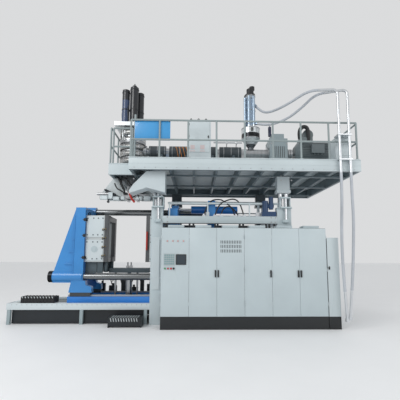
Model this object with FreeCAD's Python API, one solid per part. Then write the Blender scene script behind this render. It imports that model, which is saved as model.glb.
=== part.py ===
"""Accumulator-head blow moulding machine on two levels.

Ground level: a bed with two mould carriages, four lift columns and a row of electrical
cabinets. Upper level: a lifting platform with the extruder, its feeder and the die head.
Frame: +X to the right along the cabinets, +Y to the back, +Z up, origin on the floor at the
middle of the footprint. Millimetres.
"""
import FreeCAD
import Part
import math
import os

V = FreeCAD.Vector

# ---- driving dimensions -------------------------------------------------------------------
seat = 0.3                 # gap between pieces that move past each other
process_y = -500.0         # vertical plane through screw, head and moulds
head_x = -1385.0           # axis of the die head and of the mould parting line

bed_left, bed_right = -3983.0, 1350.0
bed_front, bed_back = -1150.0, 150.0
rail_low, rail_top = 325.0, 456.0
beam_left, beam_right = -2709.0, 1250.0
beam_top = 593.0
beam_width = 150.0
beam_offset = 400.0        # bed beam centre from the process plane
guide_width, guide_height = 60.0, 40.0
shoe_top = 686.0

column_front, column_depth = -1180.0, 190.0
column_left_x, column_width = -772.0, 267.0
column_right_x, column_right_width = 2192.0, 336.0
column_top = 2665.0
flange_thick = 35.0
beam_low, beam_high = 2308.0, 2480.0
rear_column_y, rear_column_depth = 1170.0, 280.0
rear_column_width = 314.0
post_r = 52.0
lift_stroke = 300.0

door_width, door_count = 600.0, 6
cab_left, cab_front, cab_depth = -472.0, -1690.0, 400.0
plinth_top, cab_top = 267.0, 2161.0
sheet = 2.0
door_thick = 22.0

open_gap = 454.0           # travel of each mould half to the parting line
mould_width, mould_deep = 530.0, 800.0
table_half = 190.0          # half the depth of the blow table, which the supports pass
mould_low, mould_high = 1395.0, 2510.0
platen_thick, platen_wide = 228.0, 960.0
platen_low, platen_high = 958.0, 2690.0
tie_r, tie_low_z, tie_high_z = 80.0, 1050.0, 2680.0
tie_offset = 380.0
housing_r = 130.0
rear_plate_x, rear_plate_thick = 560.0, 180.0

deck_left, deck_right = -1227.0, 3983.0
deck_front, deck_back = -1720.0, 1720.0
deck_low, deck_top = 3446.0, 3724.0
wing_left, wing_front = -1803.0, -1210.0
channel = 80.0
rail_tube_r, post_pitch = 21.0, 640.0
top_rail_z, mid_rail_z = 4614.0, 4140.0

axis_z = 4225.0            # extruder axis
barrel_r, screw_r, screw_gap = 110.0, 60.0, 0.05
barrel_left, barrel_right = -1080.0, 2158.0
head_r, head_low, head_high = 290.0, 3300.0, 4480.0
crown_low, crown_high = 4790.0, 4890.0
cylinder_top = 5904.0
rod_gap = 0.05
hose_r = 31.0

os.makedirs("parts", exist_ok=True)
nodes = {}


# ---- shape helpers ------------------------------------------------------------------------
def box(x0, x1, y0, y1, z0, z1):
    """A block between two corners."""
    return Part.makeBox(x1 - x0, y1 - y0, z1 - z0, V(x0, y0, z0))


def rod(x, y, z, r, length, axis="Z"):
    """A round bar that starts at a point and runs along an axis."""
    way = {"X": V(1, 0, 0), "Y": V(0, 1, 0), "Z": V(0, 0, 1)}[axis]
    return Part.makeCylinder(r, length, V(x, y, z), way)


def pipe(x, y, z, r, bore, length, axis="Z"):
    """A round bar with a hole through it."""
    return rod(x, y, z, r, length, axis).cut(rod(x, y, z, bore, length, axis))


def plate_xz(points, y0, y1):
    """An outline in X and Z given a thickness along Y."""
    wire = Part.makePolygon([V(x, y0, z) for x, z in points + points[:1]])
    return Part.Face(wire).extrude(V(0, y1 - y0, 0))


def plate_xy(points, z0, z1):
    """An outline in X and Y given a thickness along Z."""
    wire = Part.makePolygon([V(x, y, z0) for x, y in points + points[:1]])
    return Part.Face(wire).extrude(V(0, 0, z1 - z0))


def turned(points, x, y):
    """A solid of revolution about a vertical axis, from radius and height pairs."""
    wire = Part.makePolygon([V(x + r, y, z) for r, z in points + points[:1]])
    return Part.Face(wire).revolve(V(x, y, 0), V(0, 0, 1), 360)


def fuse(shapes):
    """Pieces welded into one solid."""
    first, rest = shapes[0], shapes[1:]
    return first.fuse(rest).removeSplitter() if rest else first


def group(shapes):
    """Like pieces that stay separate solids in one node."""
    return Part.makeCompound(shapes)


def save(name, shape):
    """Keeps a node under its name and writes its file."""
    nodes[name] = shape
    shape.exportStep("parts/" + name + ".step")


# ---- bed ----------------------------------------------------------------------------------
notch_x = column_left_x
notch_y = column_front + column_depth + 5.0
bed_outline = [(bed_left, bed_front), (notch_x, bed_front), (notch_x, notch_y),
               (bed_right, notch_y), (bed_right, bed_back), (bed_left, bed_back)]


def bed():
    """Rail frame with a tray floor, its skirt panels, its feet, beams and guide rails."""
    rim, floor_low, floor_thick = 90.0, 396.0, 12.0
    frame = plate_xy(bed_outline, rail_low, rail_top)
    pocket = box(bed_left + rim, bed_right - rim, notch_y + rim, bed_back - rim,
                 floor_low + floor_thick, rail_top)
    under = box(bed_left + rim, bed_right - rim, notch_y + rim, bed_back - rim,
                rail_low, floor_low)
    foot = 70.0
    places = [(bed_left + 20.0, bed_front + 5.0), (-2345.0, bed_front + 5.0),
              (-900.0, bed_front + 5.0), (bed_left + 20.0, bed_back - 85.0),
              (-2345.0, bed_back - 85.0), (-900.0, bed_back - 85.0),
              (bed_right - 85.0, bed_back - 85.0), (bed_right - 85.0, notch_y + 5.0)]
    feet = [box(x, x + foot, y, y + foot, 0.0, rail_low) for x, y in places]
    save("bed_frame", group([frame.cut(pocket).cut(under)] + feet))

    inset, panel, panel_low = 90.0, 12.0, 16.0
    left, right = bed_left + inset, notch_x - inset
    front, back = bed_front + inset, bed_back - inset
    save("bed_skirt", group([
        box(left, right, front, front + panel, panel_low, rail_low),
        box(left, bed_right - inset, back - panel, back, panel_low, rail_low),
        box(left, left + panel, front + panel, back - panel, panel_low, rail_low),
        box(bed_right - inset - panel, bed_right - inset, notch_y + rim, back - panel,
            panel_low, rail_low)]))

    beams, rails = [], []
    for side in (-1, 1):
        y = process_y + side * beam_offset
        web = box(beam_left, beam_right, y - beam_width / 2, y + beam_width / 2,
                  rail_top, beam_top)
        beams.append(web)
        rails.append(box(beam_left, beam_right, y - guide_width / 2, y + guide_width / 2,
                         beam_top, beam_top + guide_height))
    save("bed_beams", group(beams + rails))

    chain_left, pitch, link_count = -3740.0, 76.0, 10
    chain_right = chain_left + link_count * pitch
    chain_front, chain_back, chain_high = -1020.0, -760.0, 142.0
    chain = box(chain_left, chain_right, chain_front, chain_back, rail_top,
                rail_top + chain_high)
    slots = [box(chain_left + k * pitch + 22.0, chain_left + k * pitch + 54.0,
                 chain_front + 30.0, chain_back - 30.0, rail_top + 22.0,
                 rail_top + chain_high + 1.0) for k in range(link_count)]
    save("cable_chain", chain.cut(group(slots)))


bed()


def foot_step():
    """Slotted tread on two side plates in front of the bed."""
    left, right, front, back, top = -1620.0, -893.0, -1480.0, -1200.0, 211.0
    tread = box(left, right, front, back, top - 40.0, top)
    bars = [box(left + 60.0 + k * 56.0, left + 86.0 + k * 56.0, front + 30.0, back - 30.0,
                top - 41.0, top + 1.0) for k in range(11)]
    sides = [box(left, left + 20.0, front, back, 0.0, top - 40.0),
             box(right - 20.0, right, front, back, 0.0, top - 40.0),
             box(left, right, front, front + 12.0, 30.0, top - 40.0)]
    save("foot_step", fuse([tread.cut(group(bars))] + sides))


foot_step()


# ---- columns and lift ---------------------------------------------------------------------
def columns():
    """Four box columns with foot plates and head flanges, tied by beams."""
    back = column_front + column_depth

    def column(x, width, y0, y1, top):
        body = box(x, x + width, y0, y1, 20.0, top)
        foot = box(x - 3.0, x + width + 30.0, y0 - 5.0, y1, 0.0, 20.0)
        head = box(x, x + width + 20.0, y0 - 20.0, y1, top, top + flange_thick)
        return fuse([body, foot, head])

    front_pair = [column(column_left_x, column_width, column_front, back, column_top),
                  column(column_right_x, column_right_width, column_front, back, column_top)]
    rear_back = rear_column_y + rear_column_depth
    rear_pair = [column(-488.0, rear_column_width, rear_column_y, rear_back, column_top),
                 column(2140.0, rear_column_width, rear_column_y, rear_back, column_top)]
    front_beam = box(column_left_x + column_width, column_right_x, column_front,
                     column_front + 150.0, beam_low, beam_high)
    rear_beam = box(-488.0 + rear_column_width, 2140.0, rear_column_y, rear_column_y + 150.0,
                    beam_low, beam_high)
    side_beam = box(2210.0, 2380.0, back, rear_column_y, beam_low, beam_high)
    ties = [box(column_left_x + column_width - 35.0, column_left_x + column_width + 65.0,
                cab_front + cab_depth, column_front, z, z + 60.0) for z in (700.0, 1900.0)]
    ties += [box(column_right_x + 60.0, column_right_x + 240.0, cab_front + cab_depth,
                 column_front, z, z + 60.0) for z in (700.0, 1900.0)]
    save("columns", group(front_pair + rear_pair + [front_beam, rear_beam, side_beam] + ties))


columns()

lift_places = [(column_left_x + column_width / 2, column_front + column_depth / 2),
               (column_right_x + column_right_width / 2, column_front + column_depth / 2),
               (-488.0 + rear_column_width / 2, rear_column_y + rear_column_depth / 2),
               (2140.0 + rear_column_width / 2, rear_column_y + rear_column_depth / 2)]
post_pair = 70.0
post_low = column_top + flange_thick
sleeve_low = 3050.0


def lift():
    """Screw and guide post on each column, and the platform's sleeves that they run in."""
    posts, sleeves = [], []
    for x, y in lift_places:
        holes = []
        for side in (-1, 1):
            posts.append(rod(x + side * post_pair, y, post_low, post_r,
                             deck_low - 40.0 - post_low))
            holes.append(rod(x + side * post_pair, y, sleeve_low - 1.0, post_r + seat, 90.0))
        half_x, half_y = 150.0, 92.0
        tube = box(x - half_x, x + half_x, y - half_y, y + half_y, sleeve_low + 68.0, deck_low)
        inner = box(x - half_x + 16.0, x + half_x - 16.0, y - half_y + 16.0,
                    y + half_y - 16.0, sleeve_low + 60.0, deck_low)
        flange = box(x - half_x - 18.0, x + half_x + 18.0, y - half_y - 18.0,
                     y + half_y + 18.0, sleeve_low, sleeve_low + 68.0)
        sleeves.append(tube.cut(inner).fuse(flange.cut(group(holes))).removeSplitter())
    save("lift_posts", group(posts))
    outline = [(-850.0, deck_low), (-1148.0, 3136.0), (-1235.0, 2999.0), (-1230.0, 2940.0),
               (-840.0, 3071.0), (-430.0, 2961.0), (-430.0, deck_low)]
    bracket = plate_xz(outline, -1560.0, lift_places[0][1] - 110.0)
    save("lift_sleeves", group(sleeves + [bracket]))


lift()


# ---- mould clamp --------------------------------------------------------------------------
left_face = head_x - open_gap
right_face = head_x + open_gap
cavity_thick = 90.0
platen_front = process_y - platen_wide / 2
platen_back = process_y + platen_wide / 2
tie_places = [(process_y - tie_offset, tie_low_z), (process_y + tie_offset, tie_high_z)]
left_back = left_face - mould_width - platen_thick
web_run = 480.0
main_z, upper_y, upper_z = 1900.0, -330.0, 2740.0
rail_y = [process_y - beam_offset, process_y + beam_offset]
shoe_half, shoe_clear = 65.0, 0.3
foot_half = 75.0
cavity_r, cavity_low, cavity_high, neck_r = 270.0, 1520.0, 2380.0, 90.0
cylinder_gap = 0.05


def tie_holes(x0, x1):
    """The clearance holes for both tie bars between two X positions."""
    return group([rod(x0, y, z, tie_r + rod_gap, x1 - x0, "X") for y, z in tie_places])


def shoes(x0, x1):
    """Slide shoes that straddle both guide rails."""
    out = []
    for y in rail_y:
        block = box(x0, x1, y - shoe_half, y + shoe_half, beam_top + 6.0, shoe_top)
        groove = box(x0 - 1.0, x1 + 1.0, y - guide_width / 2 - shoe_clear,
                     y + guide_width / 2 + shoe_clear, beam_top,
                     beam_top + guide_height + shoe_clear)
        out.append(block.cut(groove))
    return out


def left_platen():
    """Welded platen: front plate, three sloping webs with ribs, bar housings and feet."""
    x0, x1 = left_back, left_back + platen_thick
    plate = box(x0, x1, platen_front, platen_back, platen_low, platen_high)
    slope = [(x0, platen_high), (x0 - web_run, 1117.0), (x0 - web_run, 912.0), (x0, 912.0)]
    web = 40.0
    webs = [plate_xz(slope, y, y + web)
            for y in (platen_front + 30.0, process_y - web / 2, platen_back - 30.0 - web)]
    ribs = []
    for z in (1330.0, 1600.0, 1830.0, 2040.0, 2250.0, 2430.0):
        reach = web_run * (platen_high - z) / (platen_high - 1117.0) - 12.0
        ribs.append(box(x0 - reach, x0, platen_front + 46.0, platen_back - 46.0, z, z + 20.0))
    houses = [rod(x0 - web_run, tie_places[0][0], tie_low_z, housing_r,
                  web_run + platen_thick - 20.0, "X"),
              rod(x0 - 43.0, tie_places[1][0], tie_high_z, housing_r,
                  43.0 + platen_thick, "X")]
    foot = [(x0 - 91.0, shoe_top), (x0 + 445.0, shoe_top), (x0 + 430.0, 820.0),
            (x0 + 300.0, 860.0), (x0 + 284.0, platen_low + 2.0), (x0 - 37.0, platen_low + 2.0)]
    feet = [plate_xz(foot, y - foot_half, y + foot_half) for y in rail_y]
    body = fuse([plate] + webs + ribs + houses)
    bars = tie_holes(x0 - web_run - 10.0, x1 + 445.0)
    save("left_platen", group([body.cut(bars)] + [foot.cut(body).cut(bars) for foot in feet]
                              + shoes(x0 - 60.0, x0 + 415.0)))
    nuts = []
    bars = []
    for (y, z), reach in zip(tie_places, (web_run, 43.0)):
        end = x0 - reach
        bars.append(rod(end - 60.0, y, z, tie_r,
                        rear_plate_x + rear_plate_thick + 60.0 - end + 60.0, "X"))
        nuts.append(rod(end - 96.0, y, z, housing_r + 5.0, 96.0, "X").cut(
            rod(end - 60.0, y, z, tie_r + rod_gap, 61.0, "X")))
        nuts.append(pipe(rear_plate_x + rear_plate_thick, y, z, tie_r + 32.0,
                         tie_r + rod_gap, 60.0, "X"))
    save("tie_bars", group(bars + nuts))


def mould(name, face, way):
    """One mould half: a carrier box and a cavity block with a half-round drum cavity."""
    front, back = process_y - mould_deep / 2, process_y + mould_deep / 2
    axis_x = face - way * 4.0
    hollow = rod(axis_x, process_y, cavity_low, cavity_r, cavity_high - cavity_low)
    neck = rod(axis_x, process_y, mould_low - 1.0, neck_r, cavity_low - mould_low + 2.0)
    step = way * cavity_thick
    block = box(min(face, face + step), max(face, face + step), front, back,
                mould_low, mould_high)
    far = face + way * mould_width
    near = face + step
    carrier = box(min(near, far), max(near, far), front, back, mould_low, mould_high)
    save(name + "_mould", group([block.cut(hollow).cut(neck), carrier.cut(hollow).cut(neck)]))


def clamp():
    """Rear plate, cylinders, rods, right platen and mould supports."""
    x0, x1 = rear_plate_x, rear_plate_x + rear_plate_thick
    plate = box(x0, x1, platen_front, platen_back, 800.0, 2880.0)
    feet = [box(x0 - 10.0, x1 + 10.0, y - foot_half, y + foot_half, shoe_top, 800.0)
            for y in rail_y]
    seats = [(process_y, main_z, 130.0, 90.0), (upper_y, upper_z, 100.0, 70.0)]
    body = fuse([plate] + feet).cut(tie_holes(x0 - 5.0, x1 + 5.0))
    for y, z, outer, bore in seats:
        body = body.cut(rod(x0 - 5.0, y, z, outer, rear_plate_thick + 10.0, "X"))
    save("rear_plate", group([body] + shoes(x0 - 20.0, x1 + 20.0)))

    left, length, cap = 150.0, 1200.0, 40.0
    px0 = right_face + mould_width
    px1 = px0 + platen_thick
    piston_x, piston_long = left + length - cap - 100.0, 80.0
    barrels, rods = [], []
    for y, z, outer, bore in seats:
        rod_r = bore / 2
        barrel = rod(left, y, z, outer, length, "X")
        barrel = barrel.cut(rod(left + cap, y, z, bore, length - 2 * cap, "X"))
        barrels.append(barrel.cut(rod(left - 1.0, y, z, rod_r + cylinder_gap, cap + 2.0, "X")))
        rods.append(fuse([rod(px1, y, z, rod_r, piston_x + 10.0 - px1, "X"),
                          rod(piston_x, y, z, bore - cylinder_gap, piston_long, "X")]))
    save("clamp_cylinders", group(barrels))
    save("clamp_rods", group(rods))

    plate = box(px0, px1, platen_front, platen_back, platen_low, platen_high)
    lug = box(px0 + 40.0, px1, upper_y - 75.0, upper_y + 75.0, platen_high - 5.0, 2840.0)
    boss = rod(px0, tie_places[1][0], tie_high_z, housing_r, platen_thick, "X")
    slope = [(px1, 2500.0), (px1 + 260.0, 1200.0), (px1 + 260.0, platen_low),
             (px1, platen_low)]
    webs = [plate_xz(slope, y, y + 40.0) for y in (platen_front + 170.0,
                                                   platen_back - 190.0)]
    foot = [(px0 - 150.0, shoe_top), (px1 + 150.0, shoe_top), (px1 + 100.0, platen_low + 2.0),
            (px0 - 60.0, platen_low + 2.0)]
    feet = [plate_xz(foot, y - foot_half, y + foot_half) for y in rail_y]
    body = fuse([plate, lug, boss] + webs)
    bars = tie_holes(px0 - 160.0, px1 + 270.0)
    save("right_platen", group([body.cut(bars)] + [foot.cut(body).cut(bars) for foot in feet]
                               + shoes(px0 - 140.0, px1 + 140.0)))

    support_low = 1132.0
    lx = left_face - mould_width
    inner = table_half + 20.0
    save("mould_brackets", group([
        box(lx, lx + 270.0, process_y - 330.0, process_y - inner, support_low, mould_low),
        box(lx, lx + 270.0, process_y + inner, process_y + 330.0, support_low, mould_low),
        box(lx + 290.0, lx + 420.0, process_y - 350.0, process_y - 325.0, support_low,
            mould_low),
        box(lx + 290.0, lx + 420.0, process_y + 325.0, process_y + 350.0, support_low,
            mould_low),
        rod(left_face - 55.0, process_y - 260.0, support_low + 20.0, 45.0,
            mould_low - support_low - 20.0),
        rod(left_face - 55.0, process_y + 260.0, support_low + 20.0, 45.0,
            mould_low - support_low - 20.0)]))


left_platen()
mould("left", left_face, -1)
mould("right", right_face, 1)
clamp()


# ---- blow station -------------------------------------------------------------------------
def blow_station():
    """Lift cylinder with two guide posts, the table it raises and two spreading pins."""
    floor, plate_low, plate_high = 408.0, 1180.0, 1241.0
    ram_r, post, drop = 45.0, 25.0, 120.0
    post_x = [head_x - 334.0, head_x + 204.0]
    base = box(head_x - 400.0, head_x + 280.0, process_y - 160.0, process_y + 160.0,
               floor, floor + 30.0)
    tube = pipe(head_x, process_y, floor + 30.0, 80.0, ram_r + rod_gap, 560.0)
    stands = [rod(x, process_y, floor + 30.0, post, plate_high - floor - 35.0)
              for x in post_x]
    save("blow_base", fuse([base, tube] + stands))
    plate = box(head_x - 460.0, head_x + 525.0, process_y - table_half, process_y + table_half,
                plate_low, plate_high)
    holes = [rod(x, process_y, plate_low - 1.0, post + rod_gap, 70.0) for x in post_x]
    ram = rod(head_x, process_y, floor + 40.0 + drop, ram_r, plate_low - floor - 38.0 - drop)
    rim = [box(head_x - 460.0, head_x + 525.0, y, y + 16.0, plate_low - 50.0, plate_low)
           for y in (process_y - table_half, process_y + table_half - 16.0)]
    save("blow_table", fuse([plate, ram] + rim).cut(group(holes)))
    for name, side in (("left", -1), ("right", 1)):
        x = head_x + side * 42.0
        block = box(x - 30.0, x + 30.0, process_y - 60.0, process_y + 60.0,
                    plate_high + seat, plate_high + 60.0)
        pin = rod(x, process_y, plate_high + 50.0, 18.0, 94.0)
        save("blow_pin_" + name, fuse([block, pin]))


blow_station()


# ---- cabinets -----------------------------------------------------------------------------
cab_right = cab_left + door_width * door_count
cab_back = cab_front + cab_depth
shell_front = cab_front + door_thick + 0.5
hinge_left = [True, True, False, True, True, False]
wall = 20.0
partitions = [door_width * k for k in (1, 3, 4)]
button_z, button_x = 1277.0, [87.0, 151.0, 215.0]
knob_x = 273.0
button_r = 15.0
knob_r = 21.0


def cabinets():
    """Cabinet carcass of flat panels, plinth, roof caps, mounting plates and doors."""
    ends = [cab_left, cab_right - wall]
    inner = [cab_left + x - wall / 2 for x in partitions]
    uprights = [box(x, x + wall, shell_front, cab_back - wall, plinth_top + wall,
                    cab_top - wall) for x in ends + inner]
    carcass = [
        box(cab_left, cab_right, shell_front, cab_back, plinth_top, plinth_top + wall),
        box(cab_left, cab_right, shell_front, cab_back, cab_top - wall, cab_top),
        box(cab_left, cab_right, cab_back - wall, cab_back, plinth_top + wall,
            cab_top - wall)] + uprights
    plinth = box(cab_left, cab_right, cab_front + 4.0, cab_back, 0.0, plinth_top)
    caps = [
        box(cab_left + k * door_width + 130.0, cab_left + k * door_width + 480.0,
            cab_front + 60.0, cab_back - 60.0, cab_top, cab_top + 62.0)
        for k in range(door_count)]
    side_left, side_right, side_top = cab_right + 12.0, cab_right + 273.0, 1957.0
    side = box(side_left, side_right, cab_front + 4.0, cab_back, 0.0, side_top)
    link = box(cab_right, side_left, cab_front + 120.0, cab_back - 60.0, 400.0, 1800.0)
    save("cabinet_shell", group(carcass + [plinth, fuse([side, link])] + caps))

    gap = 2.0
    for k in range(door_count):
        x0 = cab_left + k * door_width + gap
        x1 = x0 + door_width - 2 * gap
        leaf = box(x0, x1, cab_front, cab_front + door_thick, plinth_top + 3.0, cab_top - 3.0)
        if k == 0:
            holes = [rod(cab_left + x, cab_front - 1.0, button_z, button_r + seat,
                         door_thick + 2.0, "Y") for x in button_x]
            holes.append(rod(cab_left + knob_x, cab_front - 1.0, button_z, 8.0 + rod_gap,
                             door_thick + 2.0, "Y"))
            save("door_1", leaf.cut(group(holes)))
            continue
        handle_x = x1 - 44.0 if hinge_left[k] else x0 + 14.0
        handle = box(handle_x, handle_x + 30.0, cab_front - 26.0, cab_front,
                     1095.0, 1245.0)
        save("door_" + str(k + 1), fuse([leaf, handle]))

    front = cab_front
    save("touch_screen", box(cab_left + 318.0, cab_left + 540.0, front - 14.0, front,
                             1358.0, 1581.0))
    save("signal_lamps", group([rod(cab_left + x, front - 16.0, 1867.0, 13.0, 16.0, "Y")
                                for x in (130.0, 249.0, 357.0, 476.0)]))
    names = ["start_button", "stop_button", "emergency_stop"]
    for name, x in zip(names, button_x):
        stem = rod(cab_left + x, front - 6.0, button_z, button_r, door_thick + 3.0, "Y")
        cap_r = 20.0 if name == "emergency_stop" else 17.0
        cap = rod(cab_left + x, front - 16.0, button_z, cap_r, 10.0, "Y")
        save(name, fuse([stem, cap]))
    dial = rod(cab_left + knob_x, front - 20.0, button_z, knob_r, 19.0, "Y")
    grip = box(cab_left + knob_x - 4.0, cab_left + knob_x + 4.0, front - 30.0, front - 19.0,
               button_z - 19.0, button_z + 19.0)
    save("mode_knob", fuse([dial, grip, rod(cab_left + knob_x, front - 2.0, button_z, 8.0,
                                            door_thick + 1.0, "Y")]))


cabinets()


def hydraulics():
    """Oil tank on the floor behind the cabinets with its pump and motor on top."""
    x0, x1, y0, y1, top = 1500.0, 2120.0, -850.0, 350.0, 900.0
    tank = box(x0, x1, y0, y1, 60.0, top)
    feet = [box(x, x + 80.0, y, y + 80.0, 0.0, 60.0)
            for x in (x0, x1 - 80.0) for y in (y0, y1 - 80.0)]
    oil_line = rod(bed_right, -300.0, rail_low + 65.0, 30.0, x0 - bed_right, "X")
    pump = fuse([rod(1800.0, -250.0, top + 190.0, 160.0, 420.0, "Y"),
                 box(1660.0, 1940.0, -230.0, 150.0, top, top + 60.0),
                 rod(1800.0, -400.0, top + 190.0, 90.0, 150.0, "Y")])
    save("power_pack", group([fuse([tank, oil_line] + feet), pump]))


hydraulics()


# ---- platform -----------------------------------------------------------------------------
rail_y_front = deck_front + 30.0


def platform():
    """Channel ring, stringers and joists under a deck plate, with a well for the head."""
    plate = 24.0
    well = rod(head_x, process_y, deck_low - 1.0, head_r + 20.0, 300.0)
    low, high = deck_low, deck_top
    main = [box(deck_left, deck_right, deck_front, deck_front + channel, low, high),
            box(deck_left, deck_right, deck_back - channel, deck_back, low, high),
            box(deck_right - channel, deck_right, deck_front + channel, deck_back - channel,
                low, high),
            box(deck_left, deck_left + channel, deck_front + channel, deck_back - channel,
                low, high)]
    wing = [box(wing_left, deck_left, wing_front, wing_front + channel, low, high),
            box(wing_left, deck_left, deck_back - channel, deck_back, low, high),
            box(wing_left, wing_left + channel, wing_front + channel, deck_back - channel,
                low, high)]
    x0, x1 = deck_left + channel, deck_right - channel
    y0, y1 = deck_front + channel, deck_back - channel
    split = deck_low + 40.0
    stringers = [box(x0, x1, y - 30.0, y + 30.0, deck_low, split)
                 for y in (lift_places[0][1], 100.0, lift_places[2][1])]
    joists = [box(-900.0 + k * 540.0, -850.0 + k * 540.0, y0, y1, split, high - plate)
              for k in range(9)]
    decks = [box(x0, x1, y0, y1, high - plate, high),
             box(wing_left + channel, deck_left, wing_front + channel, y1, high - plate, high)]
    pieces = []
    for piece in main + wing + stringers + joists + decks:
        pieces += piece.cut(well).Solids
    save("platform_frame", group(pieces))


def rail_panel(start, end, posts):
    """A guard-rail panel of posts, top rail and middle rail between two deck points."""
    (xa, ya), (xb, yb) = start, end
    along = "X" if ya == yb else "Y"
    length = abs(xb - xa) + abs(yb - ya)
    r = rail_tube_r
    bars = [rod(min(xa, xb), min(ya, yb), z, r, length, along)
            for z in (top_rail_z - r, mid_rail_z)]
    for k in range(posts):
        share = k / (posts - 1)
        bars.append(rod(xa + (xb - xa) * share, ya + (yb - ya) * share, deck_top, r,
                        top_rail_z - r - deck_top))
    return fuse(bars)


def guard_rails():
    """Rail panels around the deck edge; the sign hangs on the front one."""
    inset, gap = 30.0, 62.0
    left, right = deck_left + inset, deck_right - inset - 30.0
    back = deck_back - inset
    wing_x, wing_y = wing_left + inset, wing_front + inset
    save("guard_rails", group([
        rail_panel((left, rail_y_front), (left + 8 * post_pitch, rail_y_front), 9),
        rail_panel((right + 30.0, rail_y_front + gap), (right + 30.0, back), 6),
        rail_panel((wing_x, back), (right - gap, back), 10),
        rail_panel((wing_x, wing_y), (wing_x, back - gap), 5),
        rail_panel((wing_x + gap, wing_y), (left - gap, wing_y), 2),
        rod(left, wing_y - 60.0, deck_top, 24.0, 1190.0)]))
    sign_front = rail_y_front + rail_tube_r
    save("sign_plate", box(-1122.0, -322.0, sign_front, sign_front + 12.0, 4126.0, 4604.0))
    save("deck_boxes", group([
        box(67.0, 610.0, -1400.0, -1150.0, deck_top, 4715.0),
        box(3471.0, 3846.0, -1600.0, -1300.0, deck_top, 4275.0)]))


def pinch():
    """Hangers, guide bars and cylinders of the parison clamp, and its two sliding jaws."""
    z, bar_r, ram_r = 3020.0, 22.0, 20.0
    y_sides = [process_y - 300.0, process_y + 280.0]
    left = [(-1790.0, deck_low), (-1640.0, deck_low), (-1600.0, 3160.0), (-1580.0, 2980.0),
            (-2040.0, 2980.0), (-2040.0, 3110.0)]
    right = [(-1140.0, deck_low), (-1000.0, deck_low), (-700.0, 3100.0), (-700.0, 2980.0),
             (-1180.0, 2980.0), (-1180.0, 3160.0)]
    plates = [plate_xz(outline, y, y + 20.0) for outline in (left, right) for y in y_sides]
    bars = [rod(-2040.0, y + 10.0, z, bar_r, 1340.0, "X") for y in y_sides]
    ties = [box(x, x + 20.0, y_sides[0] + 20.0, y_sides[1], 2980.0, 3100.0)
            for x in (-1740.0, -1060.0)]
    rams = [pipe(-2180.0, process_y, z, 55.0, ram_r + rod_gap, 480.0, "X"),
            pipe(-1080.0, process_y, z, 55.0, ram_r + rod_gap, 420.0, "X")]
    save("pinch_frame", fuse(plates + bars + ties + rams).cut(group([
        rod(-2181.0, process_y, z, ram_r + rod_gap, 481.0, "X"),
        rod(-1081.0, process_y, z, ram_r + rod_gap, 421.0, "X")])))
    for name, near, way in (("left", head_x - 95.0, -1), ("right", head_x + 95.0, 1)):
        far = near + way * 60.0
        block = box(min(near, far), max(near, far), y_sides[0] - 40.0, y_sides[1] + 60.0,
                    z - 60.0, z + 60.0)
        holes = [rod(min(near, far) - 1.0, y + 10.0, z, bar_r + rod_gap, 62.0, "X")
                 for y in y_sides]
        reach = 330.0
        ram = rod(min(far, far + way * reach), process_y, z, ram_r, reach, "X")
        save("jaw_" + name, fuse([block, ram]).cut(group(holes)))


platform()
guard_rails()
pinch()


# ---- accumulator head ---------------------------------------------------------------------
shot_places = [(head_x - 220.0, process_y), (head_x + 130.0, process_y + 170.0)]
shot_bores, shot_outers = [75.0, 70.0], [97.0, 95.0]
shot_rod_r, mandrel_r, centre_bore, centre_outer = 35.0, 30.0, 80.0, 110.0


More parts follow.
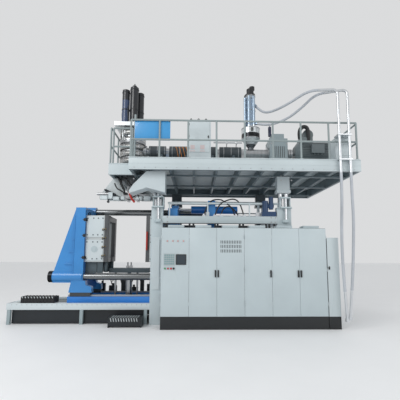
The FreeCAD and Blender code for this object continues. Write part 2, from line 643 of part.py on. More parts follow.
def head():
    """Die head on the deck, crown plate on four posts, three cylinders and their rods."""
    shoulder = axis_z + 170.0
    profile = [(0.0, 3180.0), (120.0, 3180.0), (120.0, head_low), (head_r, 3400.0),
               (head_r, deck_top), (350.0, deck_top), (350.0, deck_top + 40.0),
               (head_r, deck_top + 40.0), (head_r, shoulder), (330.0, shoulder),
               (330.0, head_high), (0.0, head_high)]
    body = turned(profile, head_x, process_y)
    inlet = rod(head_x + 200.0, process_y, axis_z, 150.0, barrel_left + 20.0 - head_x - 200.0,
                "X")
    bores = [rod(head_x, process_y, 3170.0, mandrel_r + rod_gap, 1400.0),
             rod(head_x, process_y, 3170.0, 84.0, 70.0)]
    bores += [rod(x, y, 4000.0, shot_rod_r + rod_gap, 600.0) for x, y in shot_places]
    posts = [rod(head_x + i * 215.0, process_y + j * 215.0, head_high, 28.0,
                 crown_low - head_high) for i in (-1, 1) for j in (-1, 1)]
    half = 400.0
    crown = box(head_x - half, head_x + half, process_y - half, process_y + half,
                crown_low, crown_high)
    crown_holes = [rod(head_x, process_y, crown_low - 1.0, mandrel_r + rod_gap, 102.0)]
    crown_holes += [rod(x, y, crown_low - 1.0, shot_rod_r + rod_gap, 102.0)
                    for x, y in shot_places]
    save("accumulator_head", group([body.fuse(inlet).cut(group(bores)).removeSplitter()]
                                   + posts + [crown.cut(group(crown_holes))]))

    cap = 40.0
    barrels = []
    places = list(zip(shot_places, shot_outers, shot_bores, [shot_rod_r] * 2,
                      [cylinder_top] * 2))
    places.append(((head_x, process_y), centre_outer, centre_bore, mandrel_r, 5980.0))
    for (x, y), outer, bore, stem, top in places:
        tube = rod(x, y, crown_high, outer, top - crown_high)
        tube = tube.cut(rod(x, y, crown_high + cap, bore, top - crown_high - 2 * cap))
        barrels.append(tube.cut(rod(x, y, crown_high - 1.0, stem + rod_gap, cap + 2.0)))
    barrels[2] = fuse([barrels[2], rod(head_x, process_y, 5980.0, 55.0, 60.0),
                       rod(head_x, process_y, 6040.0, 14.0, 61.0)])
    save("shot_cylinders", group(barrels))

    piston_low, piston_high = 4960.0, 5020.0
    yoke = pipe(head_x, process_y, 4540.0, 262.0, mandrel_r + 12.0, 40.0)
    rods = [rod(x, y, 4010.0, shot_rod_r, piston_high - 4010.0) for x, y in shot_places]
    pistons = [rod(x, y, piston_low, bore - rod_gap, piston_high - piston_low)
               for (x, y), bore in zip(shot_places, shot_bores)]
    save("shot_rods", fuse([yoke] + rods + pistons))
    tip = turned([(0.0, 3135.0), (70.0, 3135.0), (78.0, 3150.0), (30.0, 3175.0),
                  (0.0, 3175.0)], head_x, process_y)
    save("mandrel", fuse([tip, rod(head_x, process_y, 3170.0, mandrel_r, 1850.0),
                          rod(head_x, process_y, piston_low, centre_bore - rod_gap, 60.0)]))


head()


# ---- extruder -----------------------------------------------------------------------------
motor_x = 2930.0
shaft_r = 35.0
loader_x, loader_r, loader_low, loader_top = 1703.0, 130.0, 4890.0, 5800.0


def extruder():
    """Barrel on stands with heater covers, screw, gearbox, coupling and motor."""
    left = barrel_left + 20.0
    bore_r = screw_r + screw_gap
    tube = rod(left, process_y, axis_z, barrel_r, barrel_right - left, "X")
    flange = [rod(left, process_y, axis_z, 165.0, 45.0, "X"),
              rod(barrel_right - 45.0, process_y, axis_z, 165.0, 45.0, "X")]
    bore = rod(left - 1.0, process_y, axis_z, bore_r, barrel_right - left + 2.0, "X")
    throat = rod(loader_x, process_y, axis_z, 50.0, 200.0)
    body = fuse([tube] + flange).cut(bore).cut(throat)
    stand_x, stand = [-475.0, 175.0, 825.0, 1480.0], 80.0
    stands = [box(x - stand / 2, x + stand / 2, process_y - 110.0, process_y + 110.0,
                  deck_top, axis_z - 60.0).cut(
        rod(x - stand, process_y, axis_z, barrel_r, 2 * stand, "X")) for x in stand_x]
    save("barrel", group([body] + stands))
    edges = [(left + 60.0, stand_x[0]), (stand_x[0], stand_x[1]), (stand_x[1], stand_x[2]),
             (stand_x[2], stand_x[3])]
    margin = stand / 2 + 6.0
    save("barrel_covers", group([
        pipe(a + margin, process_y, axis_z, 165.0, barrel_r + seat, b - a - 2 * margin, "X")
        for a, b in edges]))
    core, pitch = 42.0, 120.0
    flight_x = [left + 60.0 + k * pitch for k in range(26)]
    flights = [rod(x, process_y, axis_z, screw_r, 14.0, "X") for x in flight_x]
    save("extruder_screw", fuse([rod(left + 20.0, process_y, axis_z, core,
                                     barrel_right + 140.0 - left - 20.0, "X")] + flights))

    gear_right = 2611.0
    gear = fuse([box(barrel_right, gear_right, process_y - 260.0, process_y + 260.0,
                     deck_top, 4560.0),
                 box(barrel_right + 70.0, gear_right - 70.0, process_y - 190.0,
                     process_y + 190.0, 4560.0, 4705.0)])
    save("gearbox", gear.cut(rod(barrel_right - 1.0, process_y, axis_z, core + rod_gap, 150.0,
                                 "X")).cut(rod(gear_right - 60.0, process_y, axis_z,
                                               shaft_r + rod_gap, 62.0, "X")))
    save("motor_coupling", fuse([
        rod(gear_right - 50.0, process_y, axis_z, shaft_r, motor_x + 100.0 - gear_right, "X"),
        rod(gear_right + 60.0, process_y, axis_z, 125.0, 45.0, "X"),
        rod(gear_right + 115.0, process_y, axis_z, 125.0, 45.0, "X"),
        rod(gear_right + 30.0, process_y, axis_z, 70.0, 160.0, "X")]))
    motor_right, rear_right, motor_r = 3740.0, 3900.0, 300.0
    bell = Part.makeCone(180.0, motor_r, 90.0, V(motor_x - 90.0, process_y, axis_z),
                         V(1, 0, 0))
    motor = fuse([bell, rod(motor_x, process_y, axis_z, motor_r, motor_right - motor_x, "X"),
                  box(motor_x + 60.0, motor_right - 60.0, process_y - 240.0,
                      process_y + 240.0, deck_top, axis_z - 150.0)])
    motor = motor.cut(rod(motor_x - 100.0, process_y, axis_z, shaft_r + rod_gap, 190.0, "X"))
    rear = rod(motor_right, process_y, axis_z, motor_r - 10.0, rear_right - motor_right, "X")
    blower = fuse([box(motor_x + 60.0, motor_x + 380.0, process_y - 150.0,
                       process_y + 150.0, axis_z + 250.0, axis_z + 420.0),
                   rod(motor_x + 270.0, process_y - 110.0, axis_z + 500.0, 140.0, 220.0,
                       "Y")]).cut(rod(motor_x, process_y, axis_z, motor_r, 700.0, "X"))
    save("drive_motor", group([motor, rear, blower]))


extruder()


# ---- hoses --------------------------------------------------------------------------------
route_a = [(3075.0, -1700.0, 5370.0), (2869.0, -1660.3, 5379.9), (2560.0, -1340.0, 5255.0),
           (2290.0, -1070.0, 5190.0), (2080.0, -830.0, 5205.0), (1950.0, -660.0, 5330.0),
           (1850.0, -560.0, 5500.0)]
route_b = [(3260.0, -1600.0, 5360.0), (3080.0, -1528.8, 5362.4), (2860.0, -1280.0, 5170.0),
           (2580.0, -1035.0, 4990.0), (2300.0, -865.0, 4915.0), (2065.0, -750.0, 4910.0),
           (1860.0, -640.0, 4990.0)]
route_c = [(3490.0, -1780.0, 3400.0), (3490.0, -1780.0, 2900.0), (3456.0, -1782.0, 2330.0),
           (3436.0, -1778.0, 1760.0), (3442.0, -1782.0, 1250.0), (3462.0, -1780.0, 800.0)]
route_d = [(3715.0, -1780.0, 3400.0), (3715.0, -1780.0, 2900.0), (3722.0, -1783.0, 2330.0),
           (3690.0, -1779.0, 1780.0), (3655.0, -1782.0, 1270.0), (3612.0, -1780.0, 830.0)]


def rounded_path(points, fixed=None):
    """Straight runs joined by tangent arcs as large as the two runs allow."""
    points = [V(*p) for p in points]
    edges, radii = [], []
    last = points[0]
    for a, b, c in zip(points, points[1:], points[2:]):
        into, out = (b - a), (c - b)
        turn = into.getAngle(out)
        shorter = min(into.Length, out.Length)
        radius = fixed or 0.45 * shorter / math.tan(turn / 2)
        back = radius * math.tan(turn / 2)
        into.normalize()
        out.normalize()
        start, end = b - into * back, b + out * back
        bisector = out - into
        bisector.normalize()
        centre = b + bisector * (radius / math.cos(turn / 2))
        middle = centre - bisector * radius
        edges.append(Part.LineSegment(last, start).toShape())
        edges.append(Part.Arc(start, middle, end).toShape())
        radii.append(round(radius))
        last = end
    edges.append(Part.LineSegment(last, points[-1]).toShape())
    return Part.Wire(edges), radii


def swept(points, r, fixed=None):
    """A round bar or hose along a route."""
    path, radii = rounded_path(points, fixed)
    start, ahead = V(*points[0]), V(*points[1]) - V(*points[0])
    ring = Part.Wire([Part.Circle(start, ahead, r).toShape()])
    solid = path.makePipeShell([ring], True, False)
    share = solid.Volume / (math.pi * r * r * path.Length)
    print("length", round(path.Length), "radii", radii, "volume share", round(share, 4))
    return solid


def beyond(points, length):
    """The unit direction in which a route ends, and the point that far past its end."""
    end = V(*points[-1])
    way = end - V(*points[-2])
    way.normalize()
    return end, way, end + way * length


def material_feed():
    """Hopper, vacuum loader with its lid, two swan-neck pipes, four hoses and two lances."""
    throat_r, wall = 55.0, 6.0
    bottom = axis_z + 60.0
    shell = turned([(throat_r, bottom), (75.0, bottom), (75.0, 4370.0), (240.0, 4600.0),
                    (240.0, 4880.0), (0.0, 4880.0), (0.0, 4874.0), (240.0 - wall, 4874.0),
                    (240.0 - wall, 4603.0), (throat_r, 4374.0)], loader_x, process_y)
    shell = shell.cut(rod(loader_x - 200.0, process_y, axis_z, barrel_r, 400.0, "X"))
    loader = rod(loader_x, process_y, 4880.0, loader_r, loader_top - 4880.0)
    hollow = rod(loader_x, process_y, 4900.0, loader_r - wall, loader_top - 4900.0 + 1.0)
    side_tubes = [rod(loader_x + dx, process_y - dy, 4880.0, 34.0, 850.0)
                  for dx, dy in ((-150.0, 60.0), (-60.0, 152.0), (60.0, 152.0))]
    ports = []
    for route in (route_a, route_b):
        end, way, _ = beyond(route, 0.0)
        reach = 130.0
        ports.append(Part.makeCylinder(hose_r + 7.0, reach, end, way))
    loader = fuse([loader] + side_tubes + ports).cut(hollow)
    save("hopper", group([shell, loader]))
    hinge_x = loader_x - loader_r - 18.0
    lid = fuse([rod(loader_x, process_y, loader_top + seat, loader_r + 4.0, 50.0),
                rod(loader_x, process_y, loader_top + 50.0, 95.0, 150.0),
                rod(loader_x + 50.0, process_y, loader_top + 190.0, 70.0, 80.0),
                box(hinge_x - 8.0, loader_x - loader_r + 20.0, process_y - 40.0,
                    process_y + 40.0, loader_top + seat, loader_top + 26.0)])
    save("loader_lid", lid)

    drop_a, drop_b = route_c[0], route_d[0]
    bend = 120.0
    pipes = [swept([drop_a, (drop_a[0], drop_a[1], 5350.0), route_a[0]], hose_r, bend),
             swept([drop_b, (drop_b[0], drop_b[1], 5354.0), route_b[0]], hose_r, bend)]
    clamps = []
    for y_back, z in ((-1600.0, 4262.0), (deck_front, 3690.0)):
        bar = box(drop_a[0] - 45.0, drop_b[0] + 45.0, drop_a[1] - 40.0, y_back, z, z + 26.0)
        clamps.append(bar.cut(group([rod(p[0], p[1], z - 1.0, hose_r, 28.0)
                                     for p in (drop_a, drop_b)])))
    save("feed_pipes", group(pipes + clamps))
    for name, route in (("a", route_a), ("b", route_b), ("c", route_c), ("d", route_d)):
        save("hose_" + name, swept(route, hose_r))
    lances = []
    for route in (route_c, route_d):
        end, way, tail = beyond(route, 560.0)
        head_piece = Part.makeCylinder(hose_r + 10.0, 70.0, tail - way * 8.0, way)
        lances.append(fuse([Part.makeCylinder(hose_r - 3.0, 560.0, end, way), head_piece]))
    save("suction_lances", group(lances))


material_feed()


print(len(nodes), "nodes")
for name, shape in nodes.items():
    if not shape.isValid():
        print("check", name)
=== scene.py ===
"""Visual model of the two-level blow moulding machine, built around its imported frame."""
import math

import bmesh
import bpy
from mathutils import Matrix, Vector


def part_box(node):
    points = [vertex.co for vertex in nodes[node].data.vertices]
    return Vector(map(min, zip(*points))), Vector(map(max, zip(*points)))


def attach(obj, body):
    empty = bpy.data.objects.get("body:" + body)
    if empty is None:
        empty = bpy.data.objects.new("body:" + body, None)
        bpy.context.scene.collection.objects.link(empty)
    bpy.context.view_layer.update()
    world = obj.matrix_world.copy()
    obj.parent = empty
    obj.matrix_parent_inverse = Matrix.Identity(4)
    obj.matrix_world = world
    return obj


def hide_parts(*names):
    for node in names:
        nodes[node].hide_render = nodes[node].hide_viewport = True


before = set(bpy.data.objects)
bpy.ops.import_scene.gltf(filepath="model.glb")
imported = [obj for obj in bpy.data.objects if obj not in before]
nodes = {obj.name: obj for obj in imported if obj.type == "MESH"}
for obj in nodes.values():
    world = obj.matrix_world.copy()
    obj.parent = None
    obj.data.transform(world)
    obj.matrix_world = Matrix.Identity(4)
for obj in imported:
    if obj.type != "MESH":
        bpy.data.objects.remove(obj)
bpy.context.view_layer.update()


# ---- camera, studio and floor ----
# A standing eye-height view of the long front, slightly from the right of the mould opening,
# under a large soft sky with a key light from the upper left. The floor is plain and pale.
camera_place = Vector((0.2747, -8.6472, 1.561))
camera_turn = (Matrix.Rotation(math.radians(-1.6), 4, "Z")
               @ Matrix.Rotation(math.radians(96.45), 4, "X")
               @ Matrix.Rotation(math.radians(0.22), 4, "Z"))
camera_data = bpy.data.cameras.new("studio_camera")
camera_data.lens = 28.8
camera_data.sensor_width = 36.0
camera_data.shift_x = -0.0125
camera_data.shift_y = 0.0479
camera = bpy.data.objects.new("studio_camera", camera_data)
camera.matrix_world = Matrix.Translation(camera_place) @ camera_turn
bpy.context.scene.collection.objects.link(camera)
bpy.context.scene.camera = camera
bpy.context.scene.view_settings.view_transform = "Standard"

sky = bpy.data.worlds.new("studio_sky")
sky.use_nodes = True
sky.node_tree.nodes["Background"].inputs["Color"].default_value = (0.98, 0.99, 1.0, 1.0)
sky.node_tree.nodes["Background"].inputs["Strength"].default_value = 0.72
bpy.context.scene.world = sky


def softbox(name, place, target, size, power):
    """A square studio light that faces a point."""
    light = bpy.data.lights.new(name, "AREA")
    light.size = size
    light.energy = power
    holder = bpy.data.objects.new(name, light)
    holder.location = place
    holder.rotation_euler = (Vector(target) - Vector(place)).to_track_quat("-Z", "Y").to_euler()
    bpy.context.scene.collection.objects.link(holder)


softbox("key_light", (-7.0, -9.0, 9.0), (0.0, 0.0, 2.5), 5.0, 520.0)
softbox("fill_light", (9.0, -8.0, 5.0), (1.0, 0.0, 2.5), 6.0, 170.0)


def keep(bm, name, body, material, smooth=False):
    """Turns a bmesh into a finished piece that rides on a body."""
    bmesh.ops.recalc_face_normals(bm, faces=bm.faces)
    mesh = bpy.data.meshes.new(name)
    bm.to_mesh(mesh)
    bm.free()
    mesh.polygons.foreach_set("use_smooth", [smooth] * len(mesh.polygons))
    piece = bpy.data.objects.new(name, mesh)
    bpy.context.scene.collection.objects.link(piece)
    mesh.materials.append(material)
    if body:
        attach(piece, body)
    return piece


def surface(name, colour, rough, metal=0.0, mottle=0.06, mottle_scale=1.5, bump=0.02,
            bump_scale=180.0, stretch=(1.0, 1.0, 1.0), coat=0.0):
    """A finish with uneven colour, uneven gloss and a fine raised grain."""
    material = bpy.data.materials.new(name)
    material.use_nodes = True
    tree = material.node_tree
    shader = tree.nodes["Principled BSDF"]
    shader.inputs["Metallic"].default_value = metal
    shader.inputs["Coat Weight"].default_value = coat
    place = tree.nodes.new("ShaderNodeTexCoord")
    turn = tree.nodes.new("ShaderNodeMapping")
    turn.inputs["Scale"].default_value = stretch
    tree.links.new(place.outputs["Object"], turn.inputs["Vector"])
    cloud = tree.nodes.new("ShaderNodeTexNoise")
    cloud.inputs["Scale"].default_value = mottle_scale
    cloud.inputs["Detail"].default_value = 6.0
    tree.links.new(turn.outputs["Vector"], cloud.inputs["Vector"])
    ramp = tree.nodes.new("ShaderNodeValToRGB")
    ramp.color_ramp.elements[0].position = 0.3
    ramp.color_ramp.elements[1].position = 0.7
    ramp.color_ramp.elements[0].color = [c * (1.0 - mottle) for c in colour] + [1.0]
    ramp.color_ramp.elements[1].color = [min(1.0, c * (1.0 + mottle)) for c in colour] + [1.0]
    tree.links.new(cloud.outputs["Fac"], ramp.inputs["Fac"])
    tree.links.new(ramp.outputs["Color"], shader.inputs["Base Color"])
    gloss = tree.nodes.new("ShaderNodeMapRange")
    gloss.inputs["To Min"].default_value = rough - 0.07
    gloss.inputs["To Max"].default_value = rough + 0.07
    tree.links.new(cloud.outputs["Fac"], gloss.inputs["Value"])
    tree.links.new(gloss.outputs["Result"], shader.inputs["Roughness"])
    grain = tree.nodes.new("ShaderNodeTexNoise")
    grain.inputs["Scale"].default_value = bump_scale
    tree.links.new(turn.outputs["Vector"], grain.inputs["Vector"])
    raise_up = tree.nodes.new("ShaderNodeBump")
    raise_up.inputs["Strength"].default_value = bump
    raise_up.inputs["Distance"].default_value = 0.002
    tree.links.new(grain.outputs["Fac"], raise_up.inputs["Height"])
    tree.links.new(raise_up.outputs["Normal"], shader.inputs["Normal"])
    return material


floor_bm = bmesh.new()
bmesh.ops.create_grid(floor_bm, x_segments=1, y_segments=1, size=60.0)
floor = keep(floor_bm, "studio_floor", None,
             surface("pale_floor", (0.86, 0.87, 0.88), 0.6, mottle=0.01))


# ---- material feed hoses ----
# Four smooth-bore polyurethane hoses with a wire helix, grey and slightly milky. Two carry
# granules to the loader, and two hang from the steel pipes down to their suction lances.
hose_r = 0.031
hose_routes = {
    "hose_a": [(3.075, -1.7, 5.37), (2.869, -1.6603, 5.3799), (2.56, -1.34, 5.255),
               (2.29, -1.07, 5.19), (2.08, -0.83, 5.205), (1.95, -0.66, 5.33),
               (1.85, -0.56, 5.5)],
    "hose_b": [(3.26, -1.6, 5.36), (3.08, -1.5288, 5.3624), (2.86, -1.28, 5.17),
               (2.58, -1.035, 4.99), (2.3, -0.865, 4.915), (2.065, -0.75, 4.91),
               (1.86, -0.64, 4.99)],
    "hose_c": [(3.49, -1.78, 3.4), (3.49, -1.78, 2.9), (3.456, -1.782, 2.33),
               (3.436, -1.778, 1.76), (3.442, -1.782, 1.25), (3.462, -1.78, 0.8)],
    "hose_d": [(3.715, -1.78, 3.4), (3.715, -1.78, 2.9), (3.722, -1.783, 2.33),
               (3.69, -1.779, 1.78), (3.655, -1.782, 1.27), (3.612, -1.78, 0.83)],
}
hose_lengths = {"hose_a": 1.832, "hose_b": 1.822, "hose_c": 2.602, "hose_d": 2.574}


def hose_finish(name, turns):
    """Milky grey hose wall with the ridge of its wire helix every few centimetres."""
    material = surface(name, (0.47, 0.5, 0.54), 0.34, mottle=0.1, mottle_scale=3.0, coat=0.3)
    tree = material.node_tree
    along = tree.nodes.new("ShaderNodeUVMap")
    axis = tree.nodes.new("ShaderNodeSeparateXYZ")
    tree.links.new(along.outputs["UV"], axis.inputs["Vector"])
    count = tree.nodes.new("ShaderNodeMath")
    count.operation = "MULTIPLY"
    count.inputs[1].default_value = turns * 2.0 * math.pi
    tree.links.new(axis.outputs["X"], count.inputs[0])
    wave = tree.nodes.new("ShaderNodeMath")
    wave.operation = "SINE"
    tree.links.new(count.outputs["Value"], wave.inputs[0])
    ridge = tree.nodes.new("ShaderNodeBump")
    ridge.inputs["Strength"].default_value = 0.5
    ridge.inputs["Distance"].default_value = 0.004
    tree.links.new(wave.outputs["Value"], ridge.inputs["Height"])
    tree.links.new(ridge.outputs["Normal"], tree.nodes["Principled BSDF"].inputs["Normal"])
    return material


hose_turn = 0.022
for hose, route in hose_routes.items():
    curve = bpy.data.curves.new(hose + "_tube", "CURVE")
    curve.dimensions = "3D"
    curve.bevel_depth = hose_r
    curve.bevel_resolution = 5
    curve.resolution_u = 10
    curve.use_fill_caps = True
    line = curve.splines.new("NURBS")
    line.points.add(len(route) - 1)
    for point, place in zip(line.points, route):
        point.co = (*place, 1.0)
    line.order_u = 3
    line.use_endpoint_u = True
    curve.materials.append(hose_finish(hose + "_wall", hose_lengths[hose] / hose_turn))
    tube = bpy.data.objects.new(hose + "_tube", curve)
    bpy.context.scene.collection.objects.link(tube)
    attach(tube, "platform")
    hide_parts(hose)


# ---- finishes of the carried-over frame pieces ----
# Powder-coated light grey steelwork, blue enamelled castings, black enamel, turned steel and
# moulded plastic. Pieces that need a finish of their own get it in their section instead.
light_grey = surface("light_grey_coat", (0.46, 0.54, 0.565), 0.42, mottle=0.035, bump=0.05)
pale_grey = surface("pale_grey_coat", (0.58, 0.645, 0.665), 0.42, mottle=0.04, bump=0.05)
blue_coat = surface("blue_enamel", (0.018, 0.19, 0.6), 0.32, mottle=0.1, bump=0.05, coat=0.3)
black_coat = surface("black_enamel", (0.012, 0.016, 0.02), 0.38, mottle=0.3, bump=0.06)
dark_coat = surface("dark_grey_enamel", (0.06, 0.085, 0.1), 0.45, mottle=0.2, bump=0.06)
turned_steel = surface("turned_steel", (0.42, 0.43, 0.44), 0.3, metal=1.0, mottle=0.12,
                       bump=0.12, bump_scale=90.0, stretch=(12.0, 1.0, 1.0))
chrome = surface("hard_chrome", (0.72, 0.74, 0.76), 0.13, metal=1.0, mottle=0.04, bump=0.01)
tube_steel = surface("drawn_tube", (0.66, 0.68, 0.7), 0.28, metal=0.85, mottle=0.06,
                     stretch=(1.0, 1.0, 0.2))
black_plastic = surface("black_plastic", (0.014, 0.015, 0.017), 0.5, mottle=0.2, bump=0.15)


def dress(node, material, edge=0.0, rounds=1):
    """Gives a frame piece its finish, then welds it and breaks its edges in one or two rounds."""
    crease = math.radians(35.0)
    piece = nodes[node]
    for slot in piece.material_slots:
        slot.material = material
    piece.data.polygons.foreach_set("use_smooth", [True] * len(piece.data.polygons))
    for _ in range(rounds):
        weld = piece.modifiers.new("weld", "WELD")
        weld.merge_threshold = 0.00005
        if edge:
            broken = piece.modifiers.new("edge", "BEVEL")
            broken.width = edge
            broken.segments = 2
            broken.limit_method = "ANGLE"
            broken.angle_limit = crease
            broken.harden_normals = True
        split = piece.modifiers.new("crisp", "EDGE_SPLIT")
        split.split_angle = crease


finishes = {
    "bed_skirt": (black_coat, 0.0), "foot_step": (black_coat, 0.0),
    "cable_chain": (black_plastic, 0.0), "lift_posts": (chrome, 0.0),
    "power_pack": (dark_coat, 0.0), "clamp_rods": (chrome, 0.0),
    "mould_brackets": (dark_coat, 0.003), "blow_base": (turned_steel, 0.0),
    "blow_table": (dark_coat, 0.0), "blow_pin_left": (turned_steel, 0.0),
    "blow_pin_right": (turned_steel, 0.0), "jaw_left": (turned_steel, 0.0),
    "jaw_right": (turned_steel, 0.0), "shot_rods": (chrome, 0.0), "mandrel": (chrome, 0.0),
    "barrel": (turned_steel, 0.0), "extruder_screw": (turned_steel, 0.0),
    "motor_coupling": (turned_steel, 0.0), "loader_lid": (black_plastic, 0.0),
    "feed_pipes": (tube_steel, 0.0), "suction_lances": (tube_steel, 0.0),
    "touch_screen": (black_plastic, 0.002), "mode_knob": (black_plastic, 0.0),
}
for node, (material, edge) in finishes.items():
    dress(node, material, edge)
dress("start_button", surface("green_cap", (0.03, 0.3, 0.1), 0.3, mottle=0.05))
red_cap = surface("red_cap", (0.5, 0.02, 0.02), 0.3, mottle=0.05)
dress("stop_button", red_cap)
dress("emergency_stop", red_cap)
dress("signal_lamps", surface("lamp_lens", (0.75, 0.35, 0.33), 0.2, mottle=0.05))


# ---- shapes and masks for the sections below ----
# A colour mask for one region of a finish, and the plates, bars, bands, bolts and short hoses
# that the fittings are made of. Places are world metres in the rest pose.
def patch(material, low, high, colour):
    """Recolours a finish inside a box of object coordinates; None leaves a side open."""
    tree = material.node_tree
    shader = tree.nodes["Principled BSDF"]
    place = tree.nodes.new("ShaderNodeTexCoord")
    axes = tree.nodes.new("ShaderNodeSeparateXYZ")
    tree.links.new(place.outputs["Object"], axes.inputs["Vector"])
    inside = None
    for limits, test in ((low, "GREATER_THAN"), (high, "LESS_THAN")):
        for axis, limit in enumerate(limits):
            if limit is None:
                continue
            compare = tree.nodes.new("ShaderNodeMath")
            compare.operation = test
            compare.inputs[1].default_value = limit
            tree.links.new(axes.outputs[axis], compare.inputs[0])
            if inside is None:
                inside = compare.outputs["Value"]
                continue
            both = tree.nodes.new("ShaderNodeMath")
            both.operation = "MULTIPLY"
            tree.links.new(inside, both.inputs[0])
            tree.links.new(compare.outputs["Value"], both.inputs[1])
            inside = both.outputs["Value"]
    blend = tree.nodes.new("ShaderNodeMix")
    blend.data_type = "RGBA"
    tree.links.new(inside, blend.inputs[0])
    tree.links.new(shader.inputs["Base Color"].links[0].from_socket, blend.inputs[6])
    blend.inputs[7].default_value = (*colour, 1.0)
    tree.links.new(blend.outputs[2], shader.inputs["Base Color"])
    return material


def block(bm, low, high, edge=0.0):
    """Adds a plate or block between two corners, with its edges broken."""
    low, high = Vector(low), Vector(high)
    size = high - low
    made = bmesh.ops.create_cube(bm, size=1.0, matrix=Matrix.Translation((low + high) / 2)
                                 @ Matrix.Diagonal((*size, 1.0)))
    if edge:
        edges = list({e for v in made["verts"] for e in v.link_edges})
        bmesh.ops.bevel(bm, geom=edges, offset=edge, segments=2, profile=0.5, affect="EDGES",
                        material=-1)


def bar(bm, start, end, r, tip=None, segments=20):
    """Adds a round bar, or a cone with another radius at its end."""
    start, end = Vector(start), Vector(end)
    run = end - start
    turn = run.to_track_quat("Z", "Y").to_matrix().to_4x4()
    bmesh.ops.create_cone(bm, cap_ends=True, segments=segments, radius1=r,
                          radius2=r if tip is None else tip, depth=run.length,
                          matrix=Matrix.Translation((start + end) / 2) @ turn)


def collar(bm, start, end, inner, outer, segments=40):
    """Adds a round band with a bore, spun from its cross-section."""
    start, end = Vector(start), Vector(end)
    run = (end - start).normalized()
    side = run.orthogonal().normalized()
    corners = [bm.verts.new(at + side * r)
               for at, r in ((start, inner), (end, inner), (end, outer), (start, outer))]
    edges = [bm.edges.new((corners[k], corners[(k + 1) % 4])) for k in range(4)]
    bmesh.ops.spin(bm, geom=corners + edges, cent=start, axis=run, dvec=(0, 0, 0),
                   angle=math.tau, steps=segments, use_merge=True)


def bolt(bm, place, way, r=0.011, proud=0.009):
    """Adds a hexagon head on its washer."""
    place, way = Vector(place), Vector(way)
    bar(bm, place, place + way * 0.003, r * 1.45, segments=12)
    bar(bm, place + way * 0.002, place + way * proud, r, tip=r * 0.94, segments=6)


def hose_line(name, body, r, points, material):
    """A fixed pipe or short hose run on a smooth line, made as a mesh of its own."""
    curve = bpy.data.curves.new(name, "CURVE")
    curve.dimensions = "3D"
    curve.bevel_depth = r
    curve.bevel_resolution = 3
    curve.resolution_u = 8
    curve.use_fill_caps = True
    line = curve.splines.new("NURBS")
    line.points.add(len(points) - 1)
    for point, place in zip(line.points, points):
        point.co = (*place, 1.0)
    line.order_u = 3
    line.use_endpoint_u = True
    curve.materials.append(material)
    piece = bpy.data.objects.new(name, curve)
    bpy.context.scene.collection.objects.link(piece)
    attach(piece, body)
    return piece


# ---- bed ----
# A welded tray with a light rim on feet, black skirt sheets set back under it, and two blue
# beams that carry ground steel guide rails. Bolts hold the skirt and the rails.
rim_low, rim_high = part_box("bed_frame")
bed_paint = surface("bed_coat", (0.6, 0.665, 0.685), 0.42, mottle=0.05, bump=0.05)
# Painted shade: the tray floor inside the rim, under the beams, is darkened to stand in for the
# shade there.
patch(bed_paint, (-3.9, -1.06, 0.39), (1.27, 0.06, 0.4555), (0.1, 0.13, 0.14))
patch(bed_paint, (None, None, None), (None, None, 0.325), (0.3, 0.37, 0.39))
dress("bed_frame", bed_paint, 0.004)
beam_paint = surface("beam_coat", (0.02, 0.2, 0.62), 0.34, mottle=0.1, bump=0.05, coat=0.3)
patch(beam_paint, (None, None, 0.5945), (None, None, None), (0.34, 0.36, 0.37))
dress("bed_beams", beam_paint, 0.003)

rail_top = 0.633
trim = bmesh.new()
for k in range(28):
    x = rim_low.x + 0.12 + k * 0.112
    bolt(trim, (x, rim_low.y - 0.001, 0.437), (0, -1, 0), r=0.006, proud=0.001)
for k in range(13):
    x = -2.6 + k * 0.3
    for side in (-0.9, -0.1):
        bolt(trim, (x, side, rail_top), (0, 0, 1), r=0.009, proud=0.004)
keep(trim, "bed_fasteners", "machine", turned_steel)

lip = bmesh.new()
block(lip, (rim_low.x, rim_low.y, 0.449), (-0.772, rim_low.y + 0.018, 0.468), 0.003)
block(lip, (rim_low.x, rim_low.y + 0.018, 0.449), (rim_low.x + 0.018, rim_high.y, 0.468),
      0.003)
block(lip, (rim_low.x + 0.02, rim_low.y + 0.3, 0.456), (-3.78, rim_high.y - 0.3, 0.47), 0.003)
keep(lip, "bed_drip_lip", "machine", pale_grey)

# Painted highlight: a pale finish for bars that stand in for the highlights on the foot-step
# slots and chain crossbars.
painted_slot_highlight = surface("painted_slot_highlight", (0.55, 0.6, 0.61), 0.5, mottle=0.1)
# Pale bars on the foot step, a painted highlight for its slots.
tray = bmesh.new()
for k in range(11):
    x = -1.546 + k * 0.056
    bar(tray, (x, -1.484, 0.13), (x - 0.016, -1.484, 0.2), 0.0085, segments=10)
    bar(tray, (x - 0.016, -1.484, 0.2), (x + 0.004, -1.24, 0.214), 0.0085, segments=10)
keep(tray, "foot_step_grips", "machine", painted_slot_highlight)

# ---- cable chain ----
# Moulded energy chain folded back on itself along the bed, with clip-on crossbars whose pale
# colour is a painted highlight.
chain_low, chain_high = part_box("cable_chain")
links = bmesh.new()
link_pitch = 0.076
for k in range(10):
    x = chain_low.x + k * link_pitch
    for z in (chain_low.z + 0.004, chain_low.z + 0.074):
        for y in (chain_low.y - 0.008, chain_high.y):
            block(links, (x + 0.003, y, z), (x + 0.066, y + 0.008, z + 0.062), 0.004)
            bar(links, (x + 0.02, y - 0.002, z + 0.031), (x + 0.02, y + 0.01, z + 0.031), 0.013)
    block(links, (x + 0.012, chain_low.y, chain_high.z), (x + 0.034, chain_high.y,
                                                        chain_high.z + 0.007), 0.003)
keep(links, "cable_chain_links", "machine", black_plastic)
# The crossbars take the pale painted-highlight finish.
clips = bmesh.new()
for k in range(11):
    x = chain_low.x + 0.03 + k * 0.068
    bar(clips, (x, chain_low.y - 0.012, chain_high.z + 0.006),
        (x + 0.02, chain_low.y - 0.012, chain_high.z - 0.03), 0.008, segments=10)
keep(clips, "cable_chain_clips", "machine", painted_slot_highlight)


